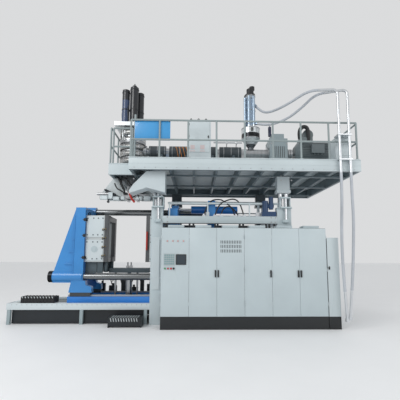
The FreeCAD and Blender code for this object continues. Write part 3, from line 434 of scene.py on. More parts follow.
# ---- clamp hydraulics on the bed ----
# Valve stacks in a row, filters and short looped hoses. They stand on the bed behind the
# guide rails, clear of the sliding platens.
bed_deck = 0.457
valves = bmesh.new()
for x, wide, top in ((-2.28, 0.16, 0.82), (-2.02, 0.2, 0.76), (-1.7, 0.14, 0.92),
                     (-1.48, 0.22, 0.72), (-1.2, 0.1, 0.9), (-1.02, 0.18, 0.8)):
    block(valves, (x, 0.03, bed_deck), (x + wide, 0.125, top), 0.008)
    bar(valves, (x + wide / 2, 0.078, top), (x + wide / 2, 0.078, top + 0.06), 0.03,
        segments=20)
    for z in (0.55, 0.66):
        bar(valves, (x + wide / 2, 0.03, z), (x + wide / 2, 0.02, z), 0.028, segments=20)
keep(valves, "bed_valve_stacks", "machine", black_coat)
bed_rubber = surface("bed_hose_rubber", (0.012, 0.013, 0.015), 0.42)
for k in range(5):
    x = -2.2 + k * 0.26
    hose_line("bed_hose_%d" % (k + 1), "machine", 0.013,
              [(x, 0.08, 0.86), (x + 0.05, 0.09, 1.0), (x + 0.2, 0.09, 0.98),
               (x + 0.25, 0.08, 0.78)], bed_rubber)
filters = bmesh.new()
bar(filters, (-2.42, 0.08, bed_deck), (-2.42, 0.08, 0.78), 0.055, segments=32)
bar(filters, (-2.42, 0.08, 0.78), (-2.42, 0.08, 0.86), 0.068, segments=32)
bar(filters, (-0.86, 0.08, bed_deck), (-0.86, 0.08, 0.95), 0.045, segments=32)
keep(filters, "bed_filters", "machine", blue_coat)

# ---- columns and upper steelwork ----
# Welded box columns in light grey, with painted shade darkening the rear ones, and bolted head
# flanges. Both front ones carry a bright lift screw in its bearing blocks, and the left one a
# ribbed cover.
column_paint = surface("column_coat", (0.5, 0.575, 0.6), 0.42, mottle=0.04, bump=0.05)
# Painted shade: the columns behind Y 1.1 are darkened to stand in for the shade at the back.
patch(column_paint, (None, 1.1, None), (None, None, None), (0.045, 0.06, 0.07))
dress("columns", column_paint, 0.005, rounds=2)
joints_bm = bmesh.new()
for x0, x1 in ((-0.772, -0.505), (2.192, 2.528)):
    for k in range(5):
        x = x0 + 0.03 + (x1 - x0 - 0.06) * k / 4.0
        bolt(joints_bm, (x, -1.2, 2.6825), (0, -1, 0), r=0.008)
for x in (-0.62, -0.4, 2.05, 2.15):
    for z in (2.34, 2.45):
        bolt(joints_bm, (x, -1.18, z), (0, -1, 0), r=0.012)
keep(joints_bm, "column_bolts", "machine", turned_steel)

column_face = -1.18
cover = bmesh.new()
block(cover, (-0.735, -1.192, 0.78), (-0.56, column_face, 1.98), 0.004)
block(cover, (-0.728, -1.197, 1.06), (-0.567, -1.192, 1.95), 0.002)
block(cover, (-0.775, -1.19, 1.03), (-0.5, column_face, 1.055), 0.003)
for z in (0.83, 1.02, 1.25, 1.6, 1.93):
    for x in (-0.722, -0.573):
        bolt(cover, (x, -1.197, z), (0, -1, 0), r=0.006, proud=0.005)
keep(cover, "column_cover", "machine", pale_grey)

screw_y = -1.222
screw = bmesh.new()
blocks = bmesh.new()
for screw_x in (-0.615, 2.385):
    bar(screw, (screw_x, screw_y, 2.36), (screw_x, screw_y, 2.995), 0.03, segments=28)
    for k in range(30):
        z = 2.45 + k * 0.018
        collar(screw, (screw_x, screw_y, z), (screw_x, screw_y, z + 0.008), 0.029, 0.034, 28)
    for half, y0, y1, z0, z1 in ((0.075, -1.265, -1.18, 2.33, 2.4),
                                 (0.125, -1.285, -1.2, 2.668, 2.702),
                                 (0.118, -1.27, -1.2, 2.905, 2.935)):
        block(blocks, (screw_x - half, y0, z0), (screw_x + half, y1, z1), 0.004)
    for side in (-1.0, 1.0):
        x = screw_x + side * 0.1175
        block(blocks, (x - 0.0125, -1.2, 2.7), (x + 0.0125, -1.0, 2.94), 0.003)
        bolt(blocks, (screw_x + side * 0.055, -1.265, 2.365), (0, -1, 0), r=0.01)
keep(screw, "front_lift_screw", "machine", chrome)
keep(blocks, "screw_bearings", "machine", light_grey)

lugs = bmesh.new()
for x in (-0.44, 0.1, 0.19, 0.7, 0.76, 1.28, 1.36, 1.9, 1.98, 2.1):
    block(lugs, (x, -1.19, 2.2), (x + 0.045, -1.14, 2.31), 0.004)
    bar(lugs, (x + 0.022, -1.2, 2.245), (x + 0.022, -1.13, 2.245), 0.014, segments=12)
block(lugs, (-0.5, -1.184, 2.296), (2.19, -1.16, 2.31), 0.002)
keep(lugs, "beam_clamps", "machine", black_coat)

# ---- upper pipework ----
# A long light pipe spans the rear columns on brackets. Hydraulic hoses cross between the
# manifold blocks on the frame and the clamp cylinders.
rear_pipe = bmesh.new()
bar(rear_pipe, (-0.48, 1.12, 3.16), (2.3, 1.12, 3.16), 0.05, segments=32)
for x in (-0.35, 0.9, 2.2):
    bar(rear_pipe, (x - 0.02, 1.12, 3.16), (x + 0.02, 1.12, 3.16), 0.062, segments=32)
for x in (-0.35, 2.2):
    block(rear_pipe, (x - 0.03, 1.1, 2.7), (x + 0.03, 1.2, 3.12), 0.004)
keep(rear_pipe, "rear_header_pipe", "machine", pale_grey)
front_pipe = bmesh.new()
bar(front_pipe, (-0.4, -1.06, 2.8), (2.28, -1.06, 2.8), 0.026, segments=28)
for x in (-0.36, 0.55, 1.55, 2.24):
    block(front_pipe, (x - 0.015, -1.1, 2.49), (x + 0.015, -1.06, 2.79), 0.003)
    collar(front_pipe, (x - 0.012, -1.06, 2.8), (x + 0.012, -1.06, 2.8), 0.024, 0.034, 28)
keep(front_pipe, "front_header_pipe", "machine", pale_grey)
second_pipe = bmesh.new()
bar(second_pipe, (-0.48, 1.0, 2.83), (2.3, 1.0, 2.83), 0.018, segments=20)
bar(second_pipe, (-0.48, 0.95, 2.74), (2.3, 0.95, 2.74), 0.018, segments=20)
for x in (-0.33, 2.25):
    block(second_pipe, (x - 0.02, 0.93, 2.68), (x + 0.02, 1.18, 2.86), 0.003)
keep(second_pipe, "hydraulic_lines", "machine", tube_steel)

hydraulic_hose = surface("rubber_hose", (0.012, 0.013, 0.015), 0.42, mottle=0.2, bump=0.2)
for k, points in enumerate((
        [(0.72, -1.1, 2.49), (0.76, -1.12, 2.66), (0.9, -1.08, 2.84), (1.06, -1.0, 2.9)],
        [(1.2, -1.1, 2.49), (1.16, -1.12, 2.64), (1.02, -1.08, 2.8), (0.88, -1.0, 2.9)],
        [(0.86, -1.06, 2.49), (0.9, -1.08, 2.7), (1.14, -1.1, 2.74), (1.3, -1.06, 2.49)],
        [(1.06, -1.0, 2.9), (1.2, -0.98, 2.95), (1.36, -1.0, 2.8), (1.42, -1.06, 2.49)],
        [(0.88, -1.0, 2.9), (0.7, -0.98, 2.93), (0.52, -1.02, 2.76), (0.46, -1.06, 2.49)])):
    hose_line("clamp_hose_%d" % (k + 1), "machine", 0.016, points, hydraulic_hose)
manifold = bmesh.new()
for x in (0.42, 0.68, 0.84, 1.17, 1.27, 1.39):
    block(manifold, (x, -1.13, 2.478), (x + 0.07, -1.03, 2.515), 0.004)
    bar(manifold, (x + 0.035, -1.07, 2.51), (x + 0.035, -1.07, 2.545), 0.02, segments=6)
for x, z in ((0.5, 2.5), (1.72, 2.5), (1.84, 2.5)):
    block(manifold, (x, -1.02, 2.48), (x + 0.09, -0.96, 2.6), 0.005)
keep(manifold, "hose_manifolds", "machine", tube_steel)
valve = bmesh.new()
bar(valve, (1.93, -1.09, 2.58), (1.93, -1.09, 2.86), 0.07, segments=28)
bar(valve, (2.07, -1.09, 2.66), (2.07, -1.09, 2.96), 0.055, segments=28)
block(valve, (1.84, -1.16, 2.48), (2.18, -1.02, 2.6), 0.008)
bar(valve, (1.99, -1.09, 2.74), (2.13, -1.09, 2.74), 0.045, segments=24)
keep(valve, "lift_drive_motor", "machine", surface("navy_coat", (0.012, 0.045, 0.12), 0.35,
                                                   mottle=0.2, bump=0.05, coat=0.2))


# ---- cabinets ----
# Six steel doors on lift-off hinges over a black plinth, with long black handles, a gasket line
# in each gap and a louvred vent in the third door. A narrow locked bay ends the row.
shell_paint = surface("shell_coat", (0.47, 0.545, 0.57), 0.38, mottle=0.03, bump=0.06)
patch(shell_paint, (None, None, None), (None, None, 0.2675), (0.012, 0.014, 0.016))
patch(shell_paint, (3.13, None, 0.27), (None, None, None), (0.53, 0.6, 0.62))
dress("cabinet_shell", shell_paint, 0.003, rounds=2)
door_paint = surface("door_coat", (0.5, 0.575, 0.6), 0.36, mottle=0.035, bump=0.06)
patch(door_paint, (None, None, 1.07), (None, -1.6915, 1.27), (0.012, 0.013, 0.015))
for door in range(1, 7):
    dress("door_%d" % door, door_paint, 0.003, rounds=2)

door_pitch, door_face = 0.6, -1.69
knuckles = bmesh.new()
seals = bmesh.new()
for door, left in enumerate((True, True, False, True, True, False)):
    x = -0.472 + door_pitch * (door if left else door + 1)
    for z in (0.5, 1.22, 1.93):
        bar(knuckles, (x, -1.692, z), (x, -1.692, z + 0.034), 0.0075, segments=12)
        bar(knuckles, (x, -1.692, z + 0.036), (x, -1.692, z + 0.07), 0.0065, segments=12)
for k in range(7):
    x = -0.473 + door_pitch * k
    block(seals, (x, -1.672, 0.27), (x + 0.003, -1.668, 2.158))
block(seals, (-0.47, -1.674, 2.159), (3.126, -1.668, 2.163))
keep(knuckles, "door_hinges", "machine", pale_grey)
keep(seals, "door_gaskets", "machine", black_plastic)

slots = bmesh.new()
for z in (1.85, 1.755, 1.657):
    for k in range(13):
        x = 0.812 + k * 0.0362
        block(slots, (x, -1.693, z - 0.034), (x + 0.012, -1.6895, z + 0.034), 0.003)
keep(slots, "vent_slots", "door_leaf_3", black_plastic)

side = bmesh.new()
bar(side, (3.178, door_face, 1.298), (3.178, -1.7, 1.298), 0.019)
block(side, (3.168, -1.712, 1.262), (3.188, -1.698, 1.335), 0.004)
block(side, (3.139, -1.689, 0.27), (3.1425, -1.684, 1.955))
keep(side, "side_bay_lock", "machine", black_plastic)

# ---- operator panel ----
# Four lamps, a touch screen beside rows of membrane keys, and a row of push buttons, all on
# the first door and all left without markings.
bezels = bmesh.new()
for x in (-0.342, -0.223, -0.115, 0.004):
    bar(bezels, (x, door_face, 1.867), (x, door_face - 0.006, 1.867), 0.019, segments=28)
for x in (-0.385, -0.321, -0.257, -0.199):
    bar(bezels, (x, door_face, 1.277), (x, door_face - 0.005, 1.277), 0.024, segments=28)
keep(bezels, "lamp_bezels", "door_leaf_1", turned_steel)
board = bmesh.new()
block(board, (-0.415, door_face - 0.004, 1.345), (-0.175, door_face, 1.594), 0.004)
keep(board, "key_board", "door_leaf_1", surface("board_coat", (0.42, 0.48, 0.49), 0.5))
keys = bmesh.new()
for row in range(5):
    for col in range(5):
        x, z = -0.402 + col * 0.0435, 1.362 + row * 0.0455
        block(keys, (x, -1.6965, z), (x + 0.034, -1.693, z + 0.034), 0.003)
key_teal = surface("key_teal", (0.24, 0.36, 0.38), 0.4, mottle=0.1)
keep(keys, "panel_keys", "door_leaf_1", key_teal)
glass = bmesh.new()
block(glass, (-0.136, -1.7052, 1.376), (0.05, -1.7035, 1.563), 0.002)
keep(glass, "screen_glass", "door_leaf_1", surface("screen_face", (0.02, 0.035, 0.05), 0.12,
                                                   mottle=0.3, coat=0.6))


# ---- clamp ----
# The left platen slides on dark shoes and carries the tie bars with black nuts. Its gusset is
# boxed in by a recessed web that carries painted shade. Lifting eyes stand on both moulds, whose
# parting faces carry painted shade.
nut_paint = surface("bar_steel", (0.2, 0.21, 0.215), 0.24, metal=0.9, mottle=0.06,
                    stretch=(0.4, 6.0, 6.0))
for low_x, high_x in ((-3.18, -3.07), (-2.745, -2.634), (0.735, 0.805)):
    patch(nut_paint, (low_x, None, None), (high_x, None, None), (0.015, 0.016, 0.018))
dress("tie_bars", nut_paint, rounds=2)
platen_paint = surface("platen_coat", (0.035, 0.235, 0.58), 0.34, mottle=0.08, bump=0.06,
                       coat=0.3)
# Painted shade: the recessed gusset web is a darker blue to stand in for the shade in the recess.
patch(platen_paint, (-2.92, -0.94, 0.75), (-2.3, None, 2.3), (0.015, 0.13, 0.44))
patch(platen_paint, (None, None, None), (None, None, 0.688), (0.03, 0.035, 0.04))
for node in ("left_platen", "right_platen", "rear_plate"):
    dress(node, platen_paint)
mould_paint = surface("mould_coat", (0.5, 0.535, 0.54), 0.4, mottle=0.12, bump=0.06)
# Painted shade: both mould halves are darkened towards their parting faces to stand in for the
# shade on the faces and in the cavity.
patch(mould_paint, (-1.9295, None, None), (-1.6, None, None), (0.08, 0.085, 0.09))
patch(mould_paint, (-1.2, None, None), (-0.8405, None, None), (0.08, 0.085, 0.09))
for node in ("left_mould", "right_mould"):
    dress(node, mould_paint, 0.004)


def eye_bolt(bm, x, y, z):
    """A lifting eye standing on a collar."""
    bar(bm, (x, y, z), (x, y, z + 0.016), 0.026, segments=20)
    made = bmesh.ops.create_circle(bm, segments=10, radius=0.0085,
                                   matrix=Matrix.Translation((x + 0.026, y, z + 0.045))
                                   @ Matrix.Rotation(math.radians(90.0), 4, "X"))
    edges = list({e for v in made["verts"] for e in v.link_edges})
    bmesh.ops.spin(bm, geom=made["verts"] + edges, cent=(x, y, z + 0.045), axis=(0, 1, 0),
                   dvec=(0, 0, 0), angle=math.tau, steps=24, use_merge=True)


mould_face, panel_face = -0.9, -0.912
for body, eyes, rows, name in (
        ("left_clamp", (-2.32, -2.0), (-2.33, -2.19, -2.08, -1.97), "left_mould_fittings"),
        ("right_clamp", (-0.78, -0.46), (-0.81, -0.69, -0.57, -0.44), "right_mould_fittings")):
    fittings = bmesh.new()
    for y in (-0.83, -0.17):
        for x in eyes:
            eye_bolt(fittings, x, y, 2.51)
    for z in (1.47, 1.87, 2.04, 2.44):
        for x in rows:
            bolt(fittings, (x, panel_face, z), (0, -1, 0), r=0.011, proud=0.01)
    keep(fittings, name, body, dark_coat)

for body, x0, x1, name in (("left_clamp", -2.352, -1.947, "left_mould_panels"),
                           ("right_clamp", -0.828, -0.418, "right_mould_panels")):
    panels = bmesh.new()
    for z0, z1 in ((1.425, 1.925), (1.985, 2.49)):
        block(panels, (x0, panel_face, z0), (x1, mould_face, z1), 0.005)
    keep(panels, name, body, pale_grey)
marks = bmesh.new()
bar(marks, (-2.15, panel_face, 1.7), (-2.15, -0.922, 1.7), 0.075, segments=36)
bar(marks, (-2.15, -0.922, 1.7), (-2.15, -0.928, 1.7), 0.04, segments=28)
keep(marks, "mould_round_cover", "left_clamp", light_grey)

ribs = bmesh.new()
for k in range(5):
    z = 1.05 + k * 0.29
    x = -3.0 + 0.255 * (z - 0.75)
    block(ribs, (x + 0.03, -0.986, z), (-2.6, -0.979, z + 0.02), 0.002)
block(ribs, (-2.612, -0.992, 0.96), (-2.598, -0.979, 2.5), 0.003)
keep(ribs, "platen_stiffeners", "left_clamp", platen_paint)
bumps = bmesh.new()
for x in (-2.62, -2.48):
    bar(bumps, (x, mould_face, 2.5), (x, mould_face, 2.575), 0.035, segments=24)
    bar(bumps, (x, mould_face, 2.575), (x, mould_face, 2.61), 0.022, segments=20)
keep(bumps, "platen_lubricators", "left_clamp", pale_grey)
dark = bmesh.new()
for z in (1.5, 2.02, 2.4):
    block(dark, (-2.405, -0.99, z - 0.035), (-2.355, -0.93, z + 0.035), 0.006)
    bar(dark, (-2.43, -0.965, z), (-2.35, -0.965, z), 0.018, segments=16)
keep(dark, "mould_carrier_clamps", "left_clamp", black_coat)

couplers = bmesh.new()
for k in range(4):
    z = 1.55 + k * 0.21
    for x in (-1.955, -1.895):
        bar(couplers, (x, mould_face, z), (x, -0.94, z), 0.014, segments=14)
keep(couplers, "mould_water_nipples", "left_clamp", surface("brass_fit", (0.55, 0.4, 0.16), 0.3,
                                                        metal=1.0, mottle=0.1))
for k in range(4):
    z = 1.55 + k * 0.21
    hose_line("mould_hose_%d" % (k + 1), "left_clamp", 0.009,
              [(-1.895, -0.935, z), (-1.9, -0.99, z - 0.01), (-1.955, -0.99, z - 0.06),
               (-1.96, -0.935, z)], hydraulic_hose)
header = bmesh.new()
block(header, (-0.923, -0.94, 1.68), (-0.885, mould_face, 2.12), 0.004)
for k in range(6):
    z = 1.715 + k * 0.073
    bar(header, (-0.904, -0.94, z), (-0.904, -0.962, z), 0.012, segments=12)
keep(header, "water_manifold", "right_clamp", surface("manifold_red", (0.42, 0.03, 0.02), 0.4,
                                                  mottle=0.1))

clips = bmesh.new()
for z in (1.5, 2.4):
    block(clips, (-2.395, -0.945, z - 0.03), (-2.33, -0.885, z + 0.03), 0.006)
    bolt(clips, (-2.36, -0.945, z), (0, -1, 0), r=0.014, proud=0.014)
keep(clips, "mould_clamps", "left_clamp", black_coat)

# ---- clamp cylinders ----
# Blue cylinders behind the front beam, in the same enamel as the beams. A ring of eight bolts
# holds each end cap.
cylinder_paint = surface("cylinder_coat", (0.02, 0.2, 0.6), 0.3, mottle=0.1, coat=0.3)
dress("clamp_cylinders", cylinder_paint)
caps = bmesh.new()
for y, z, r in ((-0.5, 1.9, 0.13), (-0.33, 2.74, 0.1)):
    for x in (0.16, 1.3):
        for k in range(8):
            a = math.tau * (k + 0.5) / 8
            start = Vector((x, y + r * 0.86 * math.cos(a), z + r * 0.86 * math.sin(a)))
            bar(caps, start, start + Vector((0.05 if x > 1 else -0.02, 0, 0)), 0.012,
                segments=6)
keep(caps, "cylinder_bolts", "left_clamp", turned_steel)


# ---- platform ----
# A light fascia with folded lips hides joists whose undersides carry painted shade. Sleeves and
# brackets hang below it, the rear sleeves with painted shade, and grey tube rails with clamped
# joints stand around the deck.
deck_paint = surface("deck_coat", (0.53, 0.6, 0.62), 0.4, mottle=0.05, bump=0.06)
# Painted shade: the joists and decks inside the fascia, below its top, are darkened to stand in
# for the shade under the platform.
patch(deck_paint, (-1.78, -1.195, None), (3.96, 1.7, 3.7), (0.13, 0.17, 0.19))
patch(deck_paint, (-1.215, -1.712, None), (3.96, -1.19, 3.7), (0.16, 0.2, 0.22))
dress("platform_frame", deck_paint, 0.004, rounds=2)
sleeve_paint = surface("sleeve_coat", (0.52, 0.585, 0.61), 0.4, mottle=0.05, bump=0.06)
# Painted shade: the sleeves behind Y 0.5 are darkened to stand in for the shade under the
# platform.
patch(sleeve_paint, (None, 0.5, None), (None, None, None), (0.05, 0.065, 0.075))
dress("lift_sleeves", sleeve_paint)
rail_paint = surface("rail_coat", (0.27, 0.32, 0.325), 0.42, mottle=0.1)
dress("guard_rails", rail_paint)

fascia_face = -1.72
lips = bmesh.new()
for z in (3.446, 3.708):
    block(lips, (-1.225, fascia_face - 0.011, z), (3.981, fascia_face, z + 0.016), 0.003)
block(lips, (-1.806, -1.222, 3.446), (-1.235, -1.21, 3.462), 0.003)
block(lips, (-1.806, -1.222, 3.708), (-1.235, -1.21, 3.724), 0.003)
block(lips, (-1.225, fascia_face - 0.0045, 3.575), (3.981, fascia_face, 3.58), 0.001)
keep(lips, "fascia_lips", "platform", pale_grey)
deck_bolts = bmesh.new()
for k in range(22):
    bolt(deck_bolts, (-1.1 + k * 0.235, fascia_face, 3.49), (0, -1, 0), r=0.007, proud=0.006)
for x in (-1.16, -0.78, 2.24, 2.48):
    for z in (3.3, 3.4):
        bolt(deck_bolts, (x, -1.42, z), (0, -1, 0), r=0.011, proud=0.009)
keep(deck_bolts, "deck_fasteners", "platform", turned_steel)

feet = bmesh.new()
for k in range(9):
    x = -1.165 + k * 0.634
    block(feet, (x - 0.045, -1.728, 3.7245), (x + 0.045, -1.67, 3.7325), 0.002)
    for dx in (-0.032, 0.032):
        bolt(feet, (x + dx, -1.716, 3.732), (0, 0, 1), r=0.006, proud=0.006)
keep(feet, "rail_feet", "platform", rail_paint)

# ---- sign and deck boxes ----
# A bare painted sign plate on four stand-offs, the deck control box with a gasketed door, and
# a smaller junction box. None of them carries any wording.
sign_paint = surface("sign_coat", (0.05, 0.3, 0.62), 0.3, mottle=0.08, coat=0.3)
dress("sign_plate", sign_paint, 0.002, rounds=2)
sign_trim = bmesh.new()
for x in (-1.095, -0.35):
    for z in (4.155, 4.575):
        bolt(sign_trim, (x, -1.669, z), (0, -1, 0), r=0.009, proud=0.006)
keep(sign_trim, "sign_studs", "platform", turned_steel)
box_paint = surface("box_coat", (0.56, 0.62, 0.64), 0.38, mottle=0.04, bump=0.06)
dress("deck_boxes", box_paint, 0.006, rounds=2)
box_trim = bmesh.new()
block(box_trim, (0.1, -1.412, 3.95), (0.577, -1.4, 4.68), 0.004)
block(box_trim, (3.5, -1.61, 3.86), (3.818, -1.6, 4.25), 0.004)
keep(box_trim, "box_doors", "platform", pale_grey)
box_trim = bmesh.new()
for z in (4.02, 4.31, 4.6):
    bar(box_trim, (0.095, -1.411, z), (0.095, -1.411, z + 0.05), 0.008, segments=12)
bar(box_trim, (0.548, -1.412, 4.32), (0.548, -1.422, 4.32), 0.017)
block(box_trim, (0.54, -1.43, 4.285), (0.556, -1.42, 4.355), 0.003)
bar(box_trim, (3.78, -1.61, 4.06), (3.78, -1.62, 4.06), 0.014)
for x in (0.16, 0.25, 0.34, 0.43, 0.52):
    bar(box_trim, (x, -1.28, 4.715), (x, -1.28, 4.745), 0.016, segments=16)
keep(box_trim, "box_fittings", "platform", black_plastic)
for k in range(3):
    x = 0.16 + 0.18 * k
    hose_line("box_cable_%d" % (k + 1), "platform", 0.009,
              [(x, -1.28, 4.74), (x, -1.28, 4.83), (x - 0.05, -1.15, 4.86),
               (x - 0.1, -1.0, 4.7), (x - 0.1, -0.78, 4.42)], hydraulic_hose)

plates = bmesh.new()
for x in (0.13, 0.36):
    block(plates, (x, -1.4155, 4.02), (x + 0.1, -1.412, 4.12), 0.001)
    block(plates, (x - 0.01, -1.4155, 3.965), (x + 0.11, -1.412, 3.99), 0.001)
keep(plates, "bare_notice_plates", "platform", surface("notice_coat", (0.62, 0.52, 0.52), 0.5,
                                                       mottle=0.05))

# ---- parison clamp ----
# Sloped side frames under the platform hold two plated jaws. Cylinders and a hand wheel move
# the jaws, and a red air hose feeds them.
pinch_paint = surface("pinch_coat", (0.54, 0.59, 0.6), 0.4, mottle=0.07, bump=0.06)
# Painted shade: the inner part of the frame, between the side frames, is darkened to stand in for
# the shade there.
patch(pinch_paint, (None, -0.62, None), (None, -0.38, None), (0.16, 0.18, 0.19))
dress("pinch_frame", pinch_paint)
jaws = bmesh.new()
bar(jaws, (-1.95, -0.86, 3.14), (-1.7, -0.86, 3.02), 0.03, segments=24)
bar(jaws, (-1.7, -0.86, 3.02), (-1.6, -0.86, 2.972), 0.012, segments=16)
bar(jaws, (-0.95, -0.86, 3.14), (-1.2, -0.86, 3.02), 0.03, segments=24)
bar(jaws, (-1.2, -0.86, 3.02), (-1.3, -0.86, 2.972), 0.012, segments=16)
bar(jaws, (-1.95, -0.8, 3.14), (-1.95, -0.92, 3.14), 0.02, segments=16)
bar(jaws, (-0.95, -0.8, 3.14), (-0.95, -0.92, 3.14), 0.02, segments=16)
keep(jaws, "jaw_cylinders", "platform", black_coat)
drives = bmesh.new()
bar(drives, (-2.13, -0.87, 3.045), (-1.85, -0.87, 3.045), 0.036, segments=32)
bar(drives, (-2.15, -0.87, 3.045), (-2.12, -0.87, 3.045), 0.026, segments=20)
bar(drives, (-1.2, -0.87, 3.03), (-0.9, -0.87, 3.03), 0.03, segments=32)
keep(drives, "jaw_drive_tubes", "platform", turned_steel)
drives = bmesh.new()
for x0, x1, z0, z1 in ((-2.06, -1.88, 2.9, 3.0), (-1.86, -1.76, 2.92, 3.08),
                       (-1.74, -1.6, 2.89, 2.97), (-1.56, -1.47, 2.9, 2.98),
                       (-1.2, -1.05, 2.9, 2.975), (-1.0, -0.84, 2.88, 2.99)):
    block(drives, (x0, -0.93, z0), (x1, -0.862, z1), 0.006)
    for z in (z0 + 0.02, z1 - 0.02):
        bolt(drives, (x0 + 0.025, -0.93, z), (0, -1, 0), r=0.007)
        bolt(drives, (x1 - 0.025, -0.93, z), (0, -1, 0), r=0.007)
keep(drives, "jaw_drive_housings", "platform", pale_grey)
drives = bmesh.new()
bar(drives, (-1.86, -0.9, 2.845), (-1.86, -0.93, 2.845), 0.03, segments=24)
block(drives, (-1.875, -0.925, 2.85), (-1.845, -0.905, 2.905), 0.003)
bar(drives, (-1.62, -0.95, 3.42), (-1.5, -0.95, 3.16), 0.024, segments=24)
bar(drives, (-1.5, -0.95, 3.16), (-1.46, -0.95, 3.07), 0.014, segments=16)
block(drives, (-1.5, -0.94, 3.02), (-1.4, -0.87, 3.075), 0.006)
bar(drives, (-1.17, -0.92, 3.06), (-1.1, -0.92, 2.9), 0.012, segments=14)
keep(drives, "jaw_drive_stays", "platform", black_coat)
for k, points in enumerate((
        [(-1.66, -0.92, 3.44), (-1.56, -0.98, 3.4), (-1.52, -1.0, 3.24), (-1.45, -0.98, 3.1)],
        [(-1.48, -0.92, 3.43), (-1.4, -0.98, 3.38), (-1.33, -1.0, 3.26), (-1.24, -0.98, 3.2)],
        [(-1.72, -0.92, 3.3), (-1.66, -0.97, 3.16), (-1.56, -0.98, 3.12), (-1.46, -0.96, 3.05)])):
    hose_line("jaw_hose_%d" % (k + 1), "platform", 0.016, points, hydraulic_hose)
hose_line("jaw_air_hose", "platform", 0.026,
          [(-1.366, -0.87, 3.087), (-1.34, -0.95, 3.02), (-1.28, -0.96, 2.9),
           (-1.224, -0.92, 2.837)], surface("air_red", (0.5, 0.03, 0.02), 0.35, mottle=0.1))
wheel = bmesh.new()
bar(wheel, (-1.415, -0.87, 2.99), (-1.415, -0.9, 2.99), 0.05, segments=32)
for k in range(12):
    a = math.tau * k / 12
    place = Vector((-1.415 + 0.048 * math.cos(a), -0.885, 2.99 + 0.048 * math.sin(a)))
    bar(wheel, place + Vector((0, 0.014, 0)), place - Vector((0, 0.014, 0)), 0.011, segments=10)
keep(wheel, "jaw_wheel", "platform", turned_steel)

# ---- accumulator head ----
# A turned head with heater bands and a bolted crown. Three shot cylinders stand on the crown,
# one dark blue with a black top, two black.
head_steel = surface("head_steel", (0.34, 0.35, 0.36), 0.34, metal=0.85, mottle=0.15,
                     stretch=(1, 1, 7))
patch(head_steel, (None, None, 4.47), (None, None, None), (0.6, 0.63, 0.64))
dress("accumulator_head", head_steel)
tower_paint = surface("tower_coat", (0.012, 0.014, 0.018), 0.3, mottle=0.2, coat=0.2)
patch(tower_paint, (None, None, 4.92), (-1.5, None, 5.62), (0.035, 0.06, 0.13))
dress("shot_cylinders", tower_paint)
head_x, axis_y = -1.385, -0.5
band_heights = [3.86 + k * 0.185 for k in range(5)]
bands = bmesh.new()
for z in band_heights:
    collar(bands, (head_x, axis_y, z), (head_x, axis_y, z + 0.125), 0.3125, 0.328, 56)
keep(bands, "head_heater_bands", "platform", surface("band_steel", (0.42, 0.42, 0.41), 0.38,
                                                    metal=0.9, mottle=0.2), True)
clamps = bmesh.new()
for z in band_heights:
    for a in (-2.1, -0.9):
        at = Vector((head_x + 0.322 * math.cos(a), axis_y + 0.322 * math.sin(a), z + 0.02))
        block(clamps, at - Vector((0.018, 0.018, 0)), at + Vector((0.018, 0.018, 0.085)), 0.003)
crown = Vector((head_x, axis_y, 4.89))
for k in range(16):
    a = math.tau * k / 16
    bolt(clamps, crown + Vector((0.36 * math.cos(a), 0.36 * math.sin(a), 0)), (0, 0, 1),
         r=0.015, proud=0.016)
keep(clamps, "head_fasteners", "platform", turned_steel)
rings = bmesh.new()
for x, y, r, top in ((-1.605, axis_y, 0.097, 5.88), (head_x, axis_y, 0.11, 5.96),
                     (-1.255, -0.33, 0.095, 5.88)):
    for z in (4.93, 5.35, top - 0.05):
        collar(rings, (x, y, z), (x, y, z + 0.022), r - 0.002, r + 0.007, 36)
keep(rings, "shot_cylinder_rings", "platform", black_coat)
for k, (x, y) in enumerate(((-1.5, -0.61), (-1.34, -0.63), (-1.7, -0.4))):
    hose_line("shot_hose_%d" % (k + 1), "platform", 0.014,
              [(x, y, 5.45), (x - 0.02, y - 0.06, 5.3), (x + 0.02, y - 0.07, 5.0),
               (x + 0.01, y - 0.02, 4.9)], hydraulic_hose)

# ---- extruder ----
# Insulated barrel covers with steel straps and heater leads, a gearbox with a vented cover,
# and a finned motor whose blower stands on top.
cover_paint = surface("cover_coat", (0.05, 0.062, 0.07), 0.42, mottle=0.12, bump=0.1)
dress("barrel_covers", cover_paint)
axis_z = 4.225
straps = bmesh.new()
for k in range(13):
    x = -0.93 + k * 0.19
    collar(straps, (x, axis_y, axis_z), (x + 0.014, axis_y, axis_z), 0.164, 0.1685, 48)
keep(straps, "cover_straps", "platform", turned_steel)
copper = surface("lead_copper", (0.62, 0.24, 0.06), 0.4, mottle=0.2)
for k in range(4):
    x = -0.27 + k * 0.085
    hose_line("heater_lead_%d" % (k + 1), "platform", 0.008,
              [(x, -0.662, 4.3), (x + 0.02, -0.71, 4.34), (x + 0.05, -0.72, 4.2),
               (x + 0.08, -0.69, 4.06), (x + 0.1, -0.64, 3.9), (x + 0.1, -0.62, 3.73)], copper)
ducts = bmesh.new()
for x in (-0.62, 0.02, 0.68, 1.22):
    bar(ducts, (x, -0.66, 4.1), (x, -0.72, 3.98), 0.045, segments=24)
    bar(ducts, (x, -0.72, 3.98), (x, -0.72, 3.73), 0.055, segments=24)
keep(ducts, "cooling_ducts", "platform", dark_coat)
pipes = bmesh.new()
for z, y in ((4.47, -0.66), (4.43, -0.72)):
    bar(pipes, (0.71, y, z), (1.44, y, z), 0.012, segments=16)
    for x in (0.8, 1.05, 1.3):
        bar(pipes, (x, y, z), (x, -0.6, 4.36), 0.009, segments=12)
        block(pipes, (x - 0.02, y - 0.015, z - 0.02), (x + 0.02, y + 0.015, z + 0.02), 0.003)
keep(pipes, "barrel_water_pipes", "platform", tube_steel)

